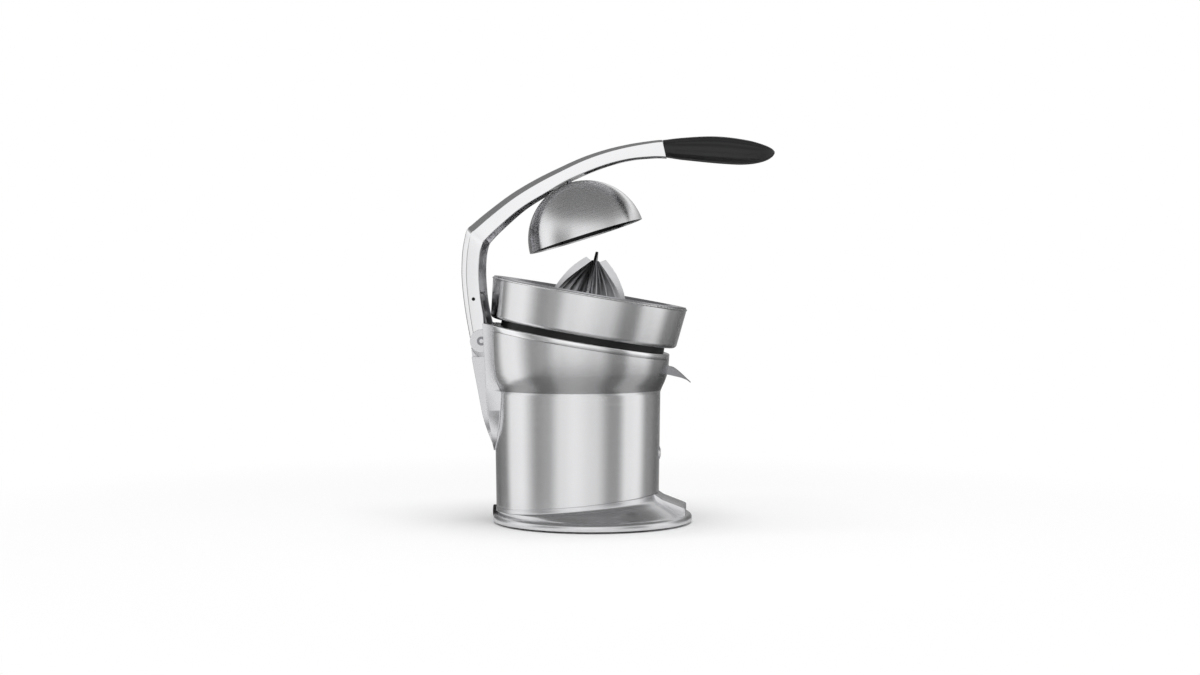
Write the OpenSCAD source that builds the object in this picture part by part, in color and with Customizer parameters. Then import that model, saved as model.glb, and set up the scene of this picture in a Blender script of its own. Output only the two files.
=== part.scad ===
// Lever citrus juice press: a motor-driven juicing cone under a press cup on a linked arm.
// Front (spout and grip) is +X, up is +Z. The origin is on the body's axis at the resting plane.

/* [Stand] */
// Radius of the round base
base_r = 114.4; // [110:0.1:118]
// How far the base's centre stands ahead of the body's axis
base_ahead = 17.3; // [14:0.1:18]
// Height of the base's rim band
rim_h = 9; // [8:0.5:11]
// Rounding of the rim's upper edge
rim_round = 5; // [3:0.5:6]
// Wall of the base casting
base_wall = 4.5; // [3.5:0.5:6]
// Height of the rubber foot ring below the rim
foot_h = 2; // [1.8:0.2:3]
// Width of the rubber foot ring
foot_w = 12; // [8:0.5:13]

/* [Body] */
// Radius of the body shell at the start of its flare
body_r = 95.4; // [92:0.1:98]
// How much narrower the shell is at its foot
body_draft = 2.2; // [0.5:0.1:3]
// Sheet thickness of the body shell
shell_t = 1.2; // [0.8:0.1:2]
// Height where the shell starts to flare
flare_z = 150; // [140:1:156]
// How far the flare stands out at its top
flare_out = 11.6; // [8:0.1:13]
// Height over which the flare opens
flare_h = 80; // [70:1:90]
// Height of the seam between base and shell on the axis
seam_z = 27; // [25:0.5:30]
// Rise of that seam towards the front, in degrees
seam_tilt = 5.3; // [3:0.1:7]

/* [Deck] */
// Distance of the deck's centre ahead of the body's axis
deck_x = 4.3; // [2:0.1:6]
// Height of the deck's centre
deck_z = 204.1; // [200:0.1:208]
// Tilt of the deck towards the spout, in degrees
deck_tilt = 9.7; // [8:0.1:11]
// Height of the bright ring under the bowl
ring_h = 6.8; // [5:0.1:8]
// Height of the dark seat between ring and bowl
seat_h = 7; // [5:0.1:9]
// Outer radius of the dark seat
seat_r = 95; // [90:0.5:98]

/* [Bowl and filter] */
// Outer radius of the bowl at its rim
bowl_r = 112.8; // [110:0.1:116]
// How much narrower the bowl is at its foot
bowl_draft = 4.4; // [2:0.1:6]
// Height of the bowl
bowl_h = 46; // [42:0.5:50]
// Sheet thickness of bowl and filter
bowl_t = 1.2; // [0.8:0.1:1.6]
// Rounding of the bowl's lower corner
bowl_round = 5; // [3:0.5:7]
// Radius of the bowl's drain
drain_r = 8; // [6:0.5:9]
// Distance of the drain from the cone's axis
drain_x = 72; // [66:1:74]
// Number of slots in the filter
slot_count = 36; // [24:1:40]

/* [Juicing cone] */
// Radius of the cone's four fins at the foot
fin_r = 42.4; // [38:0.2:46]
// Height of the cone over the bowl's rim
cone_rise = 48.4; // [44:0.2:52]
// Depth of the cone's foot below the bowl's rim
cone_sink = 9; // [7:0.5:10]
// Thickness of a fin
fin_t = 3; // [2:0.1:4]
// Number of flutes in the dark core
flute_count = 16; // [12:4:20]

/* [Press cup] */
// Outer radius of the press cup
dome_r = 67.5; // [64:0.1:69]
// How far the ball's centre lies below the cup's rim
dome_low = 3.1; // [2:0.1:5]
// Wall of the press cup
dome_t = 1.8; // [1.2:0.1:2.5]
// Thickness of the cup's dark liner
liner_t = 2.4; // [1.6:0.1:3]
// Number of ridges inside the liner
ridge_count = 12; // [8:1:16]
// Horizontal place of the cup's rim centre, ahead of the body's axis
dome_x = 9.8; // [8:0.1:12]
// Height of the cup's rim centre
dome_z = 328.3; // [326:0.1:332]
// Backward tilt of the raised cup, in degrees
dome_tilt = 17.4; // [16:0.1:19]

/* [Arm and link] */
// Distance of the rocker's axle behind the body's axis
hinge_back = 106.8; // [105:0.1:108]
// Height of the rocker's axle
hinge_z = 209; // [207:0.1:211]
// Distance of the arm pin behind the rocker's axle
pin_back = 9; // [7:0.1:11]
// Height of the arm pin over the rocker's axle
pin_up = 47.7; // [45:0.1:50]
// Horizontal run of the arm casting from the axle to the grip
arm_reach = 204.4; // [195:0.2:215]
// Height of the arm casting over the axle
arm_rise = 228.7; // [224:0.2:234]
// Half of the arm's width at its foot
arm_w = 36; // [34:0.5:36]
// Wall of the arm casting
arm_wall = 3; // [2.4:0.1:3.2]
// Largest bevel along the arm's edges
arm_bevel = 8; // [5:0.2:9]
// Radius of the rocker's axle
axle_r = 4; // [3:0.1:5]
// Radius of the arm pin
pin_r = 2.4; // [2:0.1:3]
// Radius of the arm's rounded foot
heel_r = 16.7; // [15:0.1:17]
// Running clearance of a pin in its bore
run_gap = 0.05; // [0.02:0.01:0.08]

/* [Grip] */
// Length of the rubber grip
grip_len = 127.6; // [115:0.2:140]
// Height of the grip, from which its outline is scaled
grip_h = 30; // [26:0.2:34]
// Half of the grip's width
grip_w = 19; // [16:0.2:21]

/* [Spout and button] */
// Outer width of the spout
spout_w = 22; // [18:0.5:26]
// Wall of the spout
spout_t = 1.6; // [1.2:0.1:2.2]
// Radius of the spout's barrel
barrel_r = 7; // [6:0.1:8]
// Height of the spout's barrel
barrel_z = 176; // [174:0.5:178]
// Radius of the power button
button_r = 4.8; // [4:0.1:6]
// Height of the power button
button_z = 80; // [70:0.5:100]
// Travel of the power button
button_travel = 1; // [0.6:0.1:1.2]

/* [Drive] */
// Radius of the drive shaft
shaft_r = 5; // [4:0.1:6]
// Tooth size of the second gear pair
gear_module = 1.25; // [1.1:0.05:1.3]
// Tooth size of the first gear pair
pinion_module = 1; // [0.9:0.05:1.1]
// Face width of the gears
gear_w = 8; // [6:0.5:9]
// Radius of the motor can
motor_r = 33; // [28:0.5:36]
// Length of the motor can
motor_len = 76; // [60:1:80]

/* [Hidden] */
$fn = 96;
over = 0.5;
far = 400;
touch_gap = 0.3;

// Derived places in the deck's own frame, where h = 0 is the seam under the bright ring
ring_top = ring_h;
bowl_floor = ring_h + seat_h;
rim_top = bowl_floor + bowl_h;
base_top = foot_h + rim_h;

// Share of the flare's height against share of its reach
flare_shares = [[0, 0], [0.05, 0.12], [0.1, 0.27], [0.16, 0.46], [0.25, 0.67],
                [0.36, 0.79], [0.5, 0.88], [0.7, 0.95], [1, 1]];

function body_r_at(z) = z < flare_z
    ? body_r - body_draft * (1 - z / flare_z)
    : body_r + flare_out * lookup((z - flare_z) / flare_h, flare_shares);

// Point number i of a list, held at its ends
function pick(p, i) = p[max(0, min(len(p) - 1, i))];
// A smooth curve through the rows of a table
function between(p, i, t) = 0.5 * (2 * pick(p, i) + (pick(p, i + 1) - pick(p, i - 1)) * t
    + (2 * pick(p, i - 1) - 5 * pick(p, i) + 4 * pick(p, i + 1) - pick(p, i + 2)) * t * t
    + (3 * pick(p, i) - pick(p, i - 1) - 3 * pick(p, i + 1) + pick(p, i + 2)) * t * t * t);
function smooth_rows(p, steps) = concat(
    [for (i = [0:len(p) - 2]) for (s = [0:steps - 1]) between(p, i, s / steps)], [p[len(p) - 1]]);

// A closed skin over rings that have the same number of points
module loft(rings) {
    n = len(rings[0]);
    m = len(rings);
    polyhedron(
        points = [for (ring = rings) for (p = ring) p],
        faces = concat(
            [[for (j = [0:n - 1]) j]],
            [[for (j = [n - 1:-1:0]) (m - 1) * n + j]],
            [for (i = [0:m - 2]) for (j = [0:n - 1]) [(i + 1) * n + j, (i + 1) * n + (j + 1) % n, i * n + (j + 1) % n]],
            [for (i = [0:m - 2]) for (j = [0:n - 1]) [(i + 1) * n + j, i * n + (j + 1) % n, i * n + j]]));
}

// Puts its children in the tilted frame of the deck
module on_deck(h = 0) {
    translate([deck_x, 0, deck_z]) rotate([0, deck_tilt, 0]) translate([0, 0, h]) children();
}

module above_deck(h) {
    on_deck(h) translate([-far, -far, 0]) cube([2 * far, 2 * far, far]);
}

module below_deck(h) {
    on_deck(h) translate([-far, -far, -far]) cube([2 * far, 2 * far, far]);
}

module below_seam() {
    translate([0, 0, seam_z]) rotate([0, -seam_tilt, 0]) translate([-far, -far, -far]) cube([2 * far, 2 * far, far]);
}

// The body's outer form as a solid, grown or shrunk by skin
module body_form(skin = 0, bottom = 0, top = flare_z + flare_h) {
    heights = concat([bottom, flare_z / 2], [for (s = flare_shares) flare_z + flare_h * s[0]]);
    rotate_extrude() polygon(concat(
        [[0, bottom]],
        [for (z = heights) [body_r_at(z) + skin, z]],
        [[0, top]]));
}

// Room between the cheeks for the arm's foot
cheek_gap = 1;
pocket_half = arm_w + cheek_gap;
pocket_wall = 2.5;
heel_ahead = 4.4;
pocket_front = hinge_back - heel_ahead - heel_r - pocket_wall - 0.8;
pocket_z = hinge_z - 28;

module pocket_cut(half) {
    translate([-far, -half, pocket_z]) cube([far - pocket_front, 2 * half, far]);
}

// The base

rim_ledge = 1.5;
skirt_mid_x = 6.6;
skirt_mid_r = base_r - 12.5;
skirt_mid_z = base_top + 6.5;
skirt_mid_tilt = 1.7;
pad_w = 58;
pad_front = base_ahead + base_r - 7;
pad_back = body_r - 3;
pad_low = 4;
spigot_gap = 0.4;
spigot_t = 3;
spigot_up = 3;
spigot_in_r = body_r_at(0) - shell_t - spigot_gap - spigot_t;
shelf_z = seam_z - 5;
shelf_t = 3;
shelf_open_r = body_r * 0.6;
plate_t = 2.5;
boss_ring_r = 68;
base_screw_len = 10;
base_screw_r = 2;
base_head_r = 3.7;
base_head_h = 1.6;
foot_ring_r = base_r * 0.84;
plate_z = foot_h;
plate_slots = 3;
slot_pitch = 10;
slot_w = 3;
slot_len = 60;
inlet_r = 5;
inlet_z = base_top + 1;
inlet_x = body_r + 5;
inlet_flange = 1.8;
inlet_len = 18;

module disc(r, t = 0.4) {
    cylinder(r = r, h = t, center = true, $fn = 96);
}

module skirt_top() {
    translate([0, 0, seam_z - 0.2]) rotate([0, -seam_tilt, 0]) disc(body_r_at(seam_z) + 0.9);
}

module skirt_mid() {
    translate([skirt_mid_x, 0, skirt_mid_z]) rotate([0, -skirt_mid_tilt, 0]) disc(skirt_mid_r);
}

skirt_sink = 0.3;

module skirt_low() {
    translate([base_ahead, 0, base_top - skirt_sink]) disc(base_r - rim_round - rim_ledge);
}

module base_rim() {
    translate([base_ahead, 0, 0]) rotate_extrude() {
        translate([0, foot_h]) square([base_r - rim_round, rim_h]);
        translate([0, foot_h]) square([base_r, rim_h - rim_round]);
        translate([base_r - rim_round, base_top - rim_round]) circle(r = rim_round);
    }
}

// The raised tongue on the front of the base
pad_step = 6;

module front_pad() {
    rotate([90, 0, 0]) linear_extrude(height = pad_w, center = true)
        polygon([[pad_back, foot_h + rim_h / 2], [pad_front, foot_h + rim_h / 2],
                 [pad_front, base_top + pad_low * 2], [pad_front - pad_low, base_top + pad_low * 2.5],
                 [pad_back + pad_step, seam_z + pad_step * 0.4], [pad_back, seam_z + pad_step * 1.3]]);
}

module base_casting() {
    color([0.78, 0.79, 0.8]) difference() {
        union() {
            base_rim();
            hull() {
                skirt_top();
                skirt_mid();
            }
            hull() {
                skirt_mid();
                skirt_low();
            }
            difference() {
                front_pad();
                body_form();
            }
            cylinder(r = body_r_at(0) - shell_t - spigot_gap, h = seam_z + spigot_up);
        }
        base_hollow();
        translate([-far, 0, inlet_z]) rotate([0, 90, 0]) cylinder(r = inlet_r, h = far - shelf_open_r);
        base_screw_places() translate([0, 0, plate_z]) cylinder(r = base_screw_r, h = base_screw_len);
    }
}

module base_screw_places() {
    for (a = [45:90:315]) rotate([0, 0, a]) translate([boss_ring_r, 0, 0]) children();
}

// The room inside the casting, without the four screw bosses
module base_hollow() {
    difference() {
        union() {
            translate([0, 0, -over]) cylinder(r = shelf_open_r, h = far);
            translate([0, 0, shelf_z + shelf_t]) cylinder(r = spigot_in_r, h = far);
            translate([0, 0, base_top]) cylinder(r = spigot_in_r, h = shelf_z - base_top);
            translate([base_ahead, 0, -over]) cylinder(r = base_r - base_wall, h = base_top - base_wall + over);
            translate([0, 0, base_top - base_wall - over]) cylinder(r = spigot_in_r - base_wall, h = base_wall + 2 * over);
        }
        base_screw_places() translate([0, 0, plate_z + plate_t]) cylinder(r = base_head_r + 1, h = shelf_z - plate_z - plate_t + over);
    }
}

module base_plate() {
    color([0.12, 0.12, 0.13]) difference() {
        translate([base_ahead, 0, plate_z]) cylinder(r = base_r - base_wall - touch_gap, h = plate_t);
        base_screw_places() cylinder(r = base_screw_r + touch_gap, h = far);
        for (k = [-plate_slots:plate_slots]) translate([k * slot_pitch - slot_w / 2, -slot_len / 2, 0]) cube([slot_w, slot_len, far]);
    }
}

module rubber_foot() {
    color([0.08, 0.08, 0.08]) translate([base_ahead, 0, 0]) difference() {
        cylinder(r = foot_ring_r + foot_w / 2, h = foot_h);
        translate([0, 0, -over]) cylinder(r = foot_ring_r - foot_w / 2, h = foot_h + 2 * over);
    }
}

module base_screws() {
    color([0.6, 0.6, 0.62]) base_screw_places() {
        translate([0, 0, plate_z - base_head_h]) cylinder(r = base_head_r, h = base_head_h);
        translate([0, 0, plate_z - over]) cylinder(r = base_screw_r, h = base_screw_len);
    }
}

module cord_inlet() {
    color([0.06, 0.06, 0.06]) translate([-inlet_x, 0, inlet_z]) rotate([0, 90, 0]) difference() {
        union() {
            translate([0, 0, -inlet_flange]) cylinder(r = inlet_r + inlet_flange, h = inlet_flange);
            cylinder(r = inlet_r, h = inlet_len);
        }
        translate([0, 0, -far / 2]) cylinder(r = inlet_r / 2, h = far);
    }
}

// The body shell, open at both tilted ends, with a slot at the back for the arm's foot
window_half = spout_w / 2 + 1;
window_up = 1.5;
bezel_r = button_r + 2.4;
seat_wall = 8;
drain_gap = 2.5;

module body_shell() {
    color([0.72, 0.72, 0.73]) difference() {
        body_form(bottom = 5);
        body_form(skin = -shell_t, bottom = 4, top = far);
        below_seam();
        above_deck(0);
        pocket_cut(pocket_half + touch_gap);
        translate([0, -window_half, barrel_z - barrel_r - window_up]) cube([far, 2 * window_half, 2 * (barrel_r + window_up)]);
        translate([0, 0, button_z]) rotate([0, 90, 0]) cylinder(r = bezel_r, h = far);
        for (z = spine_screw_zs) translate([-far, 0, z]) rotate([0, 90, 0]) cylinder(r = spine_screw_r + 0.3, h = far);
    }
}

// The bright ring and the deck plate that it is cast with
deck_plate_t = 3;
ring_wall = 5;
bush_r = 9;

module deck_ring() {
    color([0.8, 0.8, 0.82]) difference() {
        union() {
            intersection() {
                body_form();
                above_deck(0);
            }
            intersection() {
                cheek_pair();
                above_deck(0);
            }
        }
        above_deck(ring_top);
        difference() {
            intersection() {
                body_form(skin = -ring_wall);
                below_deck(ring_top - deck_plate_t);
            }
            on_deck(0) cylinder(r = bush_r + 3, h = ring_top);
        }
        pocket_cut(pocket_half + touch_gap);
        on_deck(-over) cylinder(r = bush_r, h = ring_top + 2 * over);
        on_deck(-over) translate([drain_x, 0, 0]) cylinder(r = drain_r + drain_gap, h = ring_top + 2 * over);
    }
}

module seat_ring() {
    color([0.07, 0.07, 0.07]) on_deck(ring_top) difference() {
        cylinder(r = seat_r, h = seat_h);
        translate([0, 0, -over]) cylinder(r = seat_r - seat_wall, h = seat_h + 2 * over);
    }
}

// Leaf-shaped cheeks beside the arm's foot. Columns: height share of cheek_h, then shares of
// body_r for the back edge, of pocket_half for the inner face, and of cheek_out for the outer face
cheek_z = 83;
cheek_h = 156;
cheek_out = 56;
cheek_edge = 2.5;
cheek_shares = [
    [0.00, 1.003, 0.30, 0.30], [0.03, 1.003, 0.50, 0.40], [0.08, 1.005, 0.72, 0.53], [0.15, 1.012, 0.90, 0.66],
    [0.24, 1.035, 1.00, 0.74], [0.35, 1.056, 1.00, 0.80], [0.50, 1.069, 1.00, 0.91], [0.65, 1.077, 1.00, 0.98],
    [0.80, 1.095, 1.00, 1.00], [1.00, 1.108, 1.00, 1.00]];
cheek_rows = smooth_rows(cheek_shares, 2);

function cheek_in(row) = pocket_half * row[2];
function cheek_side(row) = max(cheek_out * row[3], cheek_in(row) + cheek_edge);
function cheek_ring(row) =
    let (z = cheek_z + cheek_h * row[0], back = -body_r * row[1], inner = cheek_in(row), side = cheek_side(row),
         front = -sqrt(pow(body_r_at(z), 2) - side * side))
    [[back, inner, z], [front + cheek_edge * 4.8, inner, z], [front + cheek_edge * 0.4, side - cheek_edge * 0.16, z],
     [front - cheek_edge * 0.8, side - cheek_edge * 0.48, z], [back + cheek_edge * 0.48, inner + cheek_edge, z],
     [back, inner + cheek_edge * 0.6, z]];

module cheek_pair() {
    for (side = [0, 1]) mirror([0, side, 0]) loft([for (row = cheek_rows) cheek_ring(row)]);
}

module fairing_cheeks() {
    color([0.82, 0.82, 0.84]) difference() {
        cheek_pair();
        body_form();
        above_deck(0);
    }
}

// The spine behind the shell, with the lug that carries the rocker's axle.
// Shares of spine_h and spine_out along its back, from the foot up
spine_z = 86;
spine_h = 113;
spine_out = 24.5;
spine_shares = [[0, 0], [0.10, 0.13], [0.20, 0.27], [0.36, 0.47], [0.60, 0.68], [0.85, 0.90], [1, 1]];
spine_gap = 0.8;
spine_top_half = arm_w - arm_wall - 1.5;
spring_r = axle_r + 1.3;
lug_half = 12.5;
lug_r = 9.3;
lug_back_share = 0.75;
lug_flare = 2;
spine_screw_r = 2.5;
spine_screw_len = 11;
spine_head_r = 4.5;
spine_head_h = 3;
spine_screw_zs = [flare_z - 32, flare_z - 4];

module spine_side() {
    rows = smooth_rows(spine_shares, 3);
    polygon(concat(
        [for (row = rows) [-body_r_at(spine_z) - spine_out * row[1], spine_z + spine_h * row[0]]],
        [[-pocket_front - pocket_wall, spine_z + spine_h], [-pocket_front, spine_z + spine_h],
         [-pocket_front, spine_z]]));
}

// The spine seen from behind: it tapers to a round foot with the cheeks
module spine_back() {
    half = pocket_half - spine_gap;
    polygon(concat(
        [for (row = cheek_rows) if (cheek_z + cheek_h * row[0] < pocket_z) [cheek_in(row) - spine_gap, cheek_z + cheek_h * row[0]]],
        [[half, pocket_z], [-half, pocket_z]],
        [for (i = [len(cheek_rows) - 1:-1:0]) if (cheek_z + cheek_h * cheek_rows[i][0] < pocket_z)
            [spine_gap - cheek_in(cheek_rows[i]), cheek_z + cheek_h * cheek_rows[i][0]]]));
}

module rear_spine() {
    color([0.8, 0.8, 0.82]) difference() {
        union() {
            difference() {
                intersection() {
                    rotate([90, 0, 0]) linear_extrude(height = 2 * pocket_half, center = true) spine_side();
                    rotate([90, 0, 90]) linear_extrude(height = 2 * far, center = true) spine_back();
                }
                body_form();
            }
            // Floor and front wall of the pocket, in the shell's slot
            intersection() {
                body_form(skin = over);
                translate([-far, -pocket_half, pocket_z]) cube([far - pocket_front, 2 * pocket_half, pocket_wall]);
            }
            intersection() {
                translate([-pocket_front - pocket_wall, -pocket_half, pocket_z]) cube([pocket_wall, 2 * pocket_half, far]);
                below_deck(0);
            }
            // Block inside the arm's channel, and the lug
            rotate([90, 0, 0]) linear_extrude(height = 2 * spine_top_half, center = true) intersection() {
                spine_side();
                translate([-far, pocket_z]) square([far - hinge_back - lug_r / 2, spine_h]);
            }
            rotate([90, 0, 0]) linear_extrude(height = 2 * lug_half, center = true) {
                translate([-hinge_back, hinge_z]) circle(r = lug_r);
                polygon([[-hinge_back - lug_r * lug_back_share, hinge_z], [-hinge_back + lug_r, hinge_z],
                         [-hinge_back + lug_r + lug_flare, pocket_z], [-hinge_back - lug_r * lug_back_share, pocket_z]]);
            }
        }
        translate([-hinge_back, 0, hinge_z]) rotate([90, 0, 0]) cylinder(r = axle_r, h = far, center = true);
        for (z = spine_screw_zs) translate([-body_r_at(z) - 11, 0, z]) rotate([0, 90, 0]) cylinder(r = spine_screw_r, h = 40);
        rocker_sweep();
    }
}

// Clears the rocker's round lower ends out of the spine
module rocker_sweep() {
    for (side = [-1, 1]) translate([-hinge_back, side * (lug_half + far / 2 + touch_gap), hinge_z])
        rotate([90, 0, 0]) cylinder(r = rocker_low_r + 1, h = far, center = true);
}

module spine_screws() {
    color([0.55, 0.55, 0.57]) for (z = spine_screw_zs) translate([-body_r_at(z) + shell_t, 0, z]) rotate([0, -90, 0]) {
        translate([0, 0, -spine_head_h - touch_gap / 2]) cylinder(r = spine_head_r, h = spine_head_h);
        translate([0, 0, -over]) cylinder(r = spine_screw_r, h = spine_screw_len);
    }
}

// The gearbox hangs under the deck on four posts. Heights in the deck's frame
gap_teeth = 0.12;
out_teeth = 56;
idler_small = 14;
idler_big = 44;
pinion_teeth = 12;
box_top = -26;
box_plate_t = 4;
level_high = box_top - 2 - gear_w;
level_low = level_high - 3 - gear_w;
box_bottom = level_low - 3 - box_plate_t;
box_r = 62;
box_y = 9;
box_wall = 3;
post_r = 5;
post_ring_r = 54;
box_screw_r = 2;
box_head_h = 2.5;
box_screw_len = box_top + box_plate_t + 12 - box_bottom;
motor_screw_x = 18;
idler_pin_r = 3;
idler_y = gear_module * (out_teeth + idler_small) / 2;
motor_y = idler_y - pinion_module * (idler_big + pinion_teeth) / 2;
motor_shaft_r = 2.5;
can_end = 3;
can_wall = 2;
can_slot_w = 4;
core_gap = 9;
fan_low = 22;
fan_h = 12;
fan_hub_r = 9;
fan_r = 29;
fan_t = 1.6;
fan_pitch = 20;

// A spur gear with straight-flanked teeth; a tooth points along +X, or a gap when half_turn is true
module gear(teeth, mod, width, half_turn = false) {
    tip = mod * (teeth / 2 + 0.9);
    root = mod * (teeth / 2 - 1.15);
    step = 360 / teeth;
    start = half_turn ? step / 2 : 0;
    linear_extrude(height = width) polygon([for (k = [0:teeth - 1])
        for (corner = [[root, -0.36], [tip, -0.13], [tip, 0.13], [root, 0.36]])
            [corner[0] * cos(start + step * (k + corner[1] * (1 - gap_teeth))),
             corner[0] * sin(start + step * (k + corner[1] * (1 - gap_teeth)))]]);
}

// The four posts and screws of the gearbox
module box_posts(h) {
    on_deck(h) translate([0, box_y, 0]) for (a = [45:90:315]) rotate([0, 0, a]) translate([post_ring_r, 0, 0]) children();
}

module motor_screw_places(h) {
    for (side = [-1, 1]) on_deck(h) translate([side * motor_screw_x, motor_y, 0]) children();
}

module gearbox_frame() {
    color([0.35, 0.36, 0.38]) difference() {
        union() {
            on_deck(box_bottom) translate([0, box_y, 0]) difference() {
                cylinder(r = box_r, h = box_top + box_plate_t - box_bottom);
                translate([0, 0, box_plate_t]) cylinder(r = box_r - box_wall, h = box_top - box_bottom - box_plate_t);
            }
            box_posts(box_top) cylinder(r = post_r, h = ring_top - deck_plate_t - box_top);
            on_deck(box_top) cylinder(r = shaft_r + box_wall, h = box_plate_t * 2);
        }
        on_deck(box_bottom - over) cylinder(r = shaft_r + run_gap, h = far);
        on_deck(box_bottom - over) translate([0, motor_y, 0]) cylinder(r = motor_shaft_r * 2, h = box_plate_t + 2 * over);
        on_deck(box_bottom - over) translate([0, idler_y, 0]) cylinder(r = idler_pin_r, h = far);
        box_posts(box_bottom - over) cylinder(r = box_screw_r, h = box_screw_len + over);
        motor_screw_places(box_bottom - over) cylinder(r = box_screw_r, h = box_plate_t + 2 * over);
    }
}

module gearbox_screws() {
    color([0.6, 0.6, 0.62]) box_posts(box_bottom) {
        translate([0, 0, -box_head_h]) cylinder(r = 2 * box_screw_r, h = box_head_h);
        translate([0, 0, -over]) cylinder(r = box_screw_r, h = box_screw_len);
    }
}

module motor_can() {
    color([0.45, 0.46, 0.48]) difference() {
        on_deck(box_bottom - motor_len) translate([0, motor_y, 0]) difference() {
            cylinder(r = motor_r, h = motor_len);
            translate([0, 0, can_end]) cylinder(r = motor_r - can_wall, h = motor_len - 2 * can_end);
            translate([0, 0, -over]) cylinder(r = motor_shaft_r + over, h = far);
            for (a = [0:30:330]) rotate([0, 0, a]) translate([motor_r * 0.64, -can_slot_w / 2, -over])
                cube([motor_r * 0.24, can_slot_w, can_end + 2 * over]);
        }
        motor_screw_places(box_bottom - can_end - over) cylinder(r = box_screw_r, h = can_end + 2 * over);
    }
}

module motor_screws() {
    color([0.6, 0.6, 0.62]) motor_screw_places(box_bottom - can_end) cylinder(r = box_screw_r, h = can_end + box_plate_t);
}

module motor_rotor() {
    color([0.5, 0.3, 0.18]) on_deck(box_bottom - motor_len) translate([0, motor_y, 0]) {
        translate([0, 0, -fan_low]) cylinder(r = motor_shaft_r, h = motor_len + fan_low + level_low + gear_w - box_bottom);
        translate([0, 0, motor_len * 0.18]) cylinder(r = motor_r - core_gap, h = motor_len * 0.64);
        translate([0, 0, motor_len + level_low - box_bottom]) gear(pinion_teeth, pinion_module, gear_w, true);
        // Cooling fan
        translate([0, 0, 2 - fan_low]) {
            cylinder(r = fan_hub_r, h = fan_h);
            for (a = [0:45:315]) rotate([0, 0, a]) translate([fan_hub_r - 1, -fan_t / 2, 0]) rotate([fan_pitch, 0, 0])
                cube([fan_r - fan_hub_r, fan_t, fan_h - 1]);
        }
    }
}

module idler_gear() {
    color([0.86, 0.84, 0.76]) on_deck(0) translate([0, idler_y, 0]) difference() {
        union() {
            rotate([0, 0, -90]) translate([0, 0, level_low]) gear(idler_big, pinion_module, gear_w, false);
            rotate([0, 0, -90]) translate([0, 0, level_low + gear_w - over]) gear(idler_small, gear_module, level_high - level_low + over, true);
        }
        translate([0, 0, level_low - over]) cylinder(r = idler_pin_r + run_gap, h = far);
    }
}

module idler_pin() {
    color([0.65, 0.65, 0.67]) on_deck(box_bottom) translate([0, idler_y, 0]) cylinder(r = idler_pin_r, h = box_top + box_plate_t - box_bottom);
}

// Gear hub and the lightening holes of the big gear
hub_wall = 5;
hub_low = 2;
hub_high = 1;
hole_ring_r = 21;
hole_r = 6;

module output_gear() {
    color([0.86, 0.84, 0.76]) on_deck(level_high) difference() {
        union() {
            rotate([0, 0, 90]) gear(out_teeth, gear_module, gear_w, false);
            translate([0, 0, -hub_low]) cylinder(r = shaft_r + hub_wall, h = gear_w + hub_low + hub_high);
        }
        translate([0, 0, -far / 2]) cylinder(r = shaft_r, h = far);
        for (a = [0:60:300]) rotate([0, 0, a]) translate([hole_ring_r, 0, -over]) cylinder(r = hole_r, h = gear_w + 2 * over);
    }
}

// The drive shaft runs from the gearbox through the deck and the bowl's sleeve into the cone
shaft_low = box_bottom + over;
shaft_top = rim_top + 18;
hex_r = shaft_r - 0.6;
hex_low = 3;
bush_foot = 4;
bush_flange = 2;
seal_out = 3;
seal_t = 2.5;

module drive_shaft() {
    color([0.7, 0.7, 0.72]) on_deck(0) {
        translate([0, 0, shaft_low]) cylinder(r = shaft_r, h = rim_top - cone_sink - hex_low + 1 - shaft_low);
        translate([0, 0, rim_top - cone_sink - hex_low]) cylinder(r = hex_r, h = shaft_top - rim_top + cone_sink + hex_low, $fn = 6);
    }
}

module shaft_bush() {
    color([0.7, 0.55, 0.3]) on_deck(-bush_foot) difference() {
        union() {
            cylinder(r = bush_r, h = ring_top + bush_foot);
            cylinder(r = bush_r + bush_flange, h = bush_foot);
        }
        translate([0, 0, -over]) cylinder(r = shaft_r + run_gap, h = far);
    }
}

module shaft_seal() {
    color([0.1, 0.1, 0.1]) on_deck(ring_top) difference() {
        cylinder(r = bush_r + seal_out, h = seal_t);
        translate([0, 0, -over]) cylinder(r = shaft_r + over, h = far);
    }
}

// Electrical parts
board_size = [50, 1.6, 36];
board_place = [-30, -70, 60];
board_sink = 0.1;
relay_place = [6, 6];
relay_size = [14, 9, 12];
driver_place = [28, 8];
driver_size = [16, 6, 20];
post_inset = 5;
post_w = 8;
post_t = 3;
post_foot = 10;

module circuit_board() {
    color([0.1, 0.35, 0.2]) translate(board_place) {
        cube(board_size);
        translate([relay_place[0], board_size[1] - board_sink, relay_place[1]]) cube(relay_size);
        translate([driver_place[0], board_size[1] - board_sink, driver_place[1]]) cube(driver_size);
    }
}

module board_posts() {
    color([0.2, 0.2, 0.2]) for (x = [post_inset, board_size[0] - post_inset])
        translate([board_place[0] + x, board_place[1], shelf_z + shelf_t]) translate([-post_w / 2, -post_t, 0]) {
            cube([post_w, post_t, board_place[2] + board_size[2] / 2 - shelf_z - shelf_t]);
            cube([post_w, post_foot, post_t]);
        }
}

module arm_switch() {
    size = [12, 16, ring_top - deck_plate_t - box_top - box_plate_t - 2];
    color([0.08, 0.08, 0.1]) on_deck(ring_top - deck_plate_t - size[2]) translate([-box_r - size[0], -size[1] / 2, 0]) cube(size);
}

// The power button slides in a bezel, in front of its switch
button_out = 1.6;
button_gap = 0.3;
flange_out = 1.2;
flange_t = 3;
bezel_back = 3;
bezel_out = 0.6;
switch_size = [16, 12, 12];
switch_floor = 2;
switch_rim = 2;
switch_tube = flange_t + button_travel + 2 * touch_gap + switch_floor;
bezel_x = body_r_at(button_z) - shell_t - bezel_back;

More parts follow.
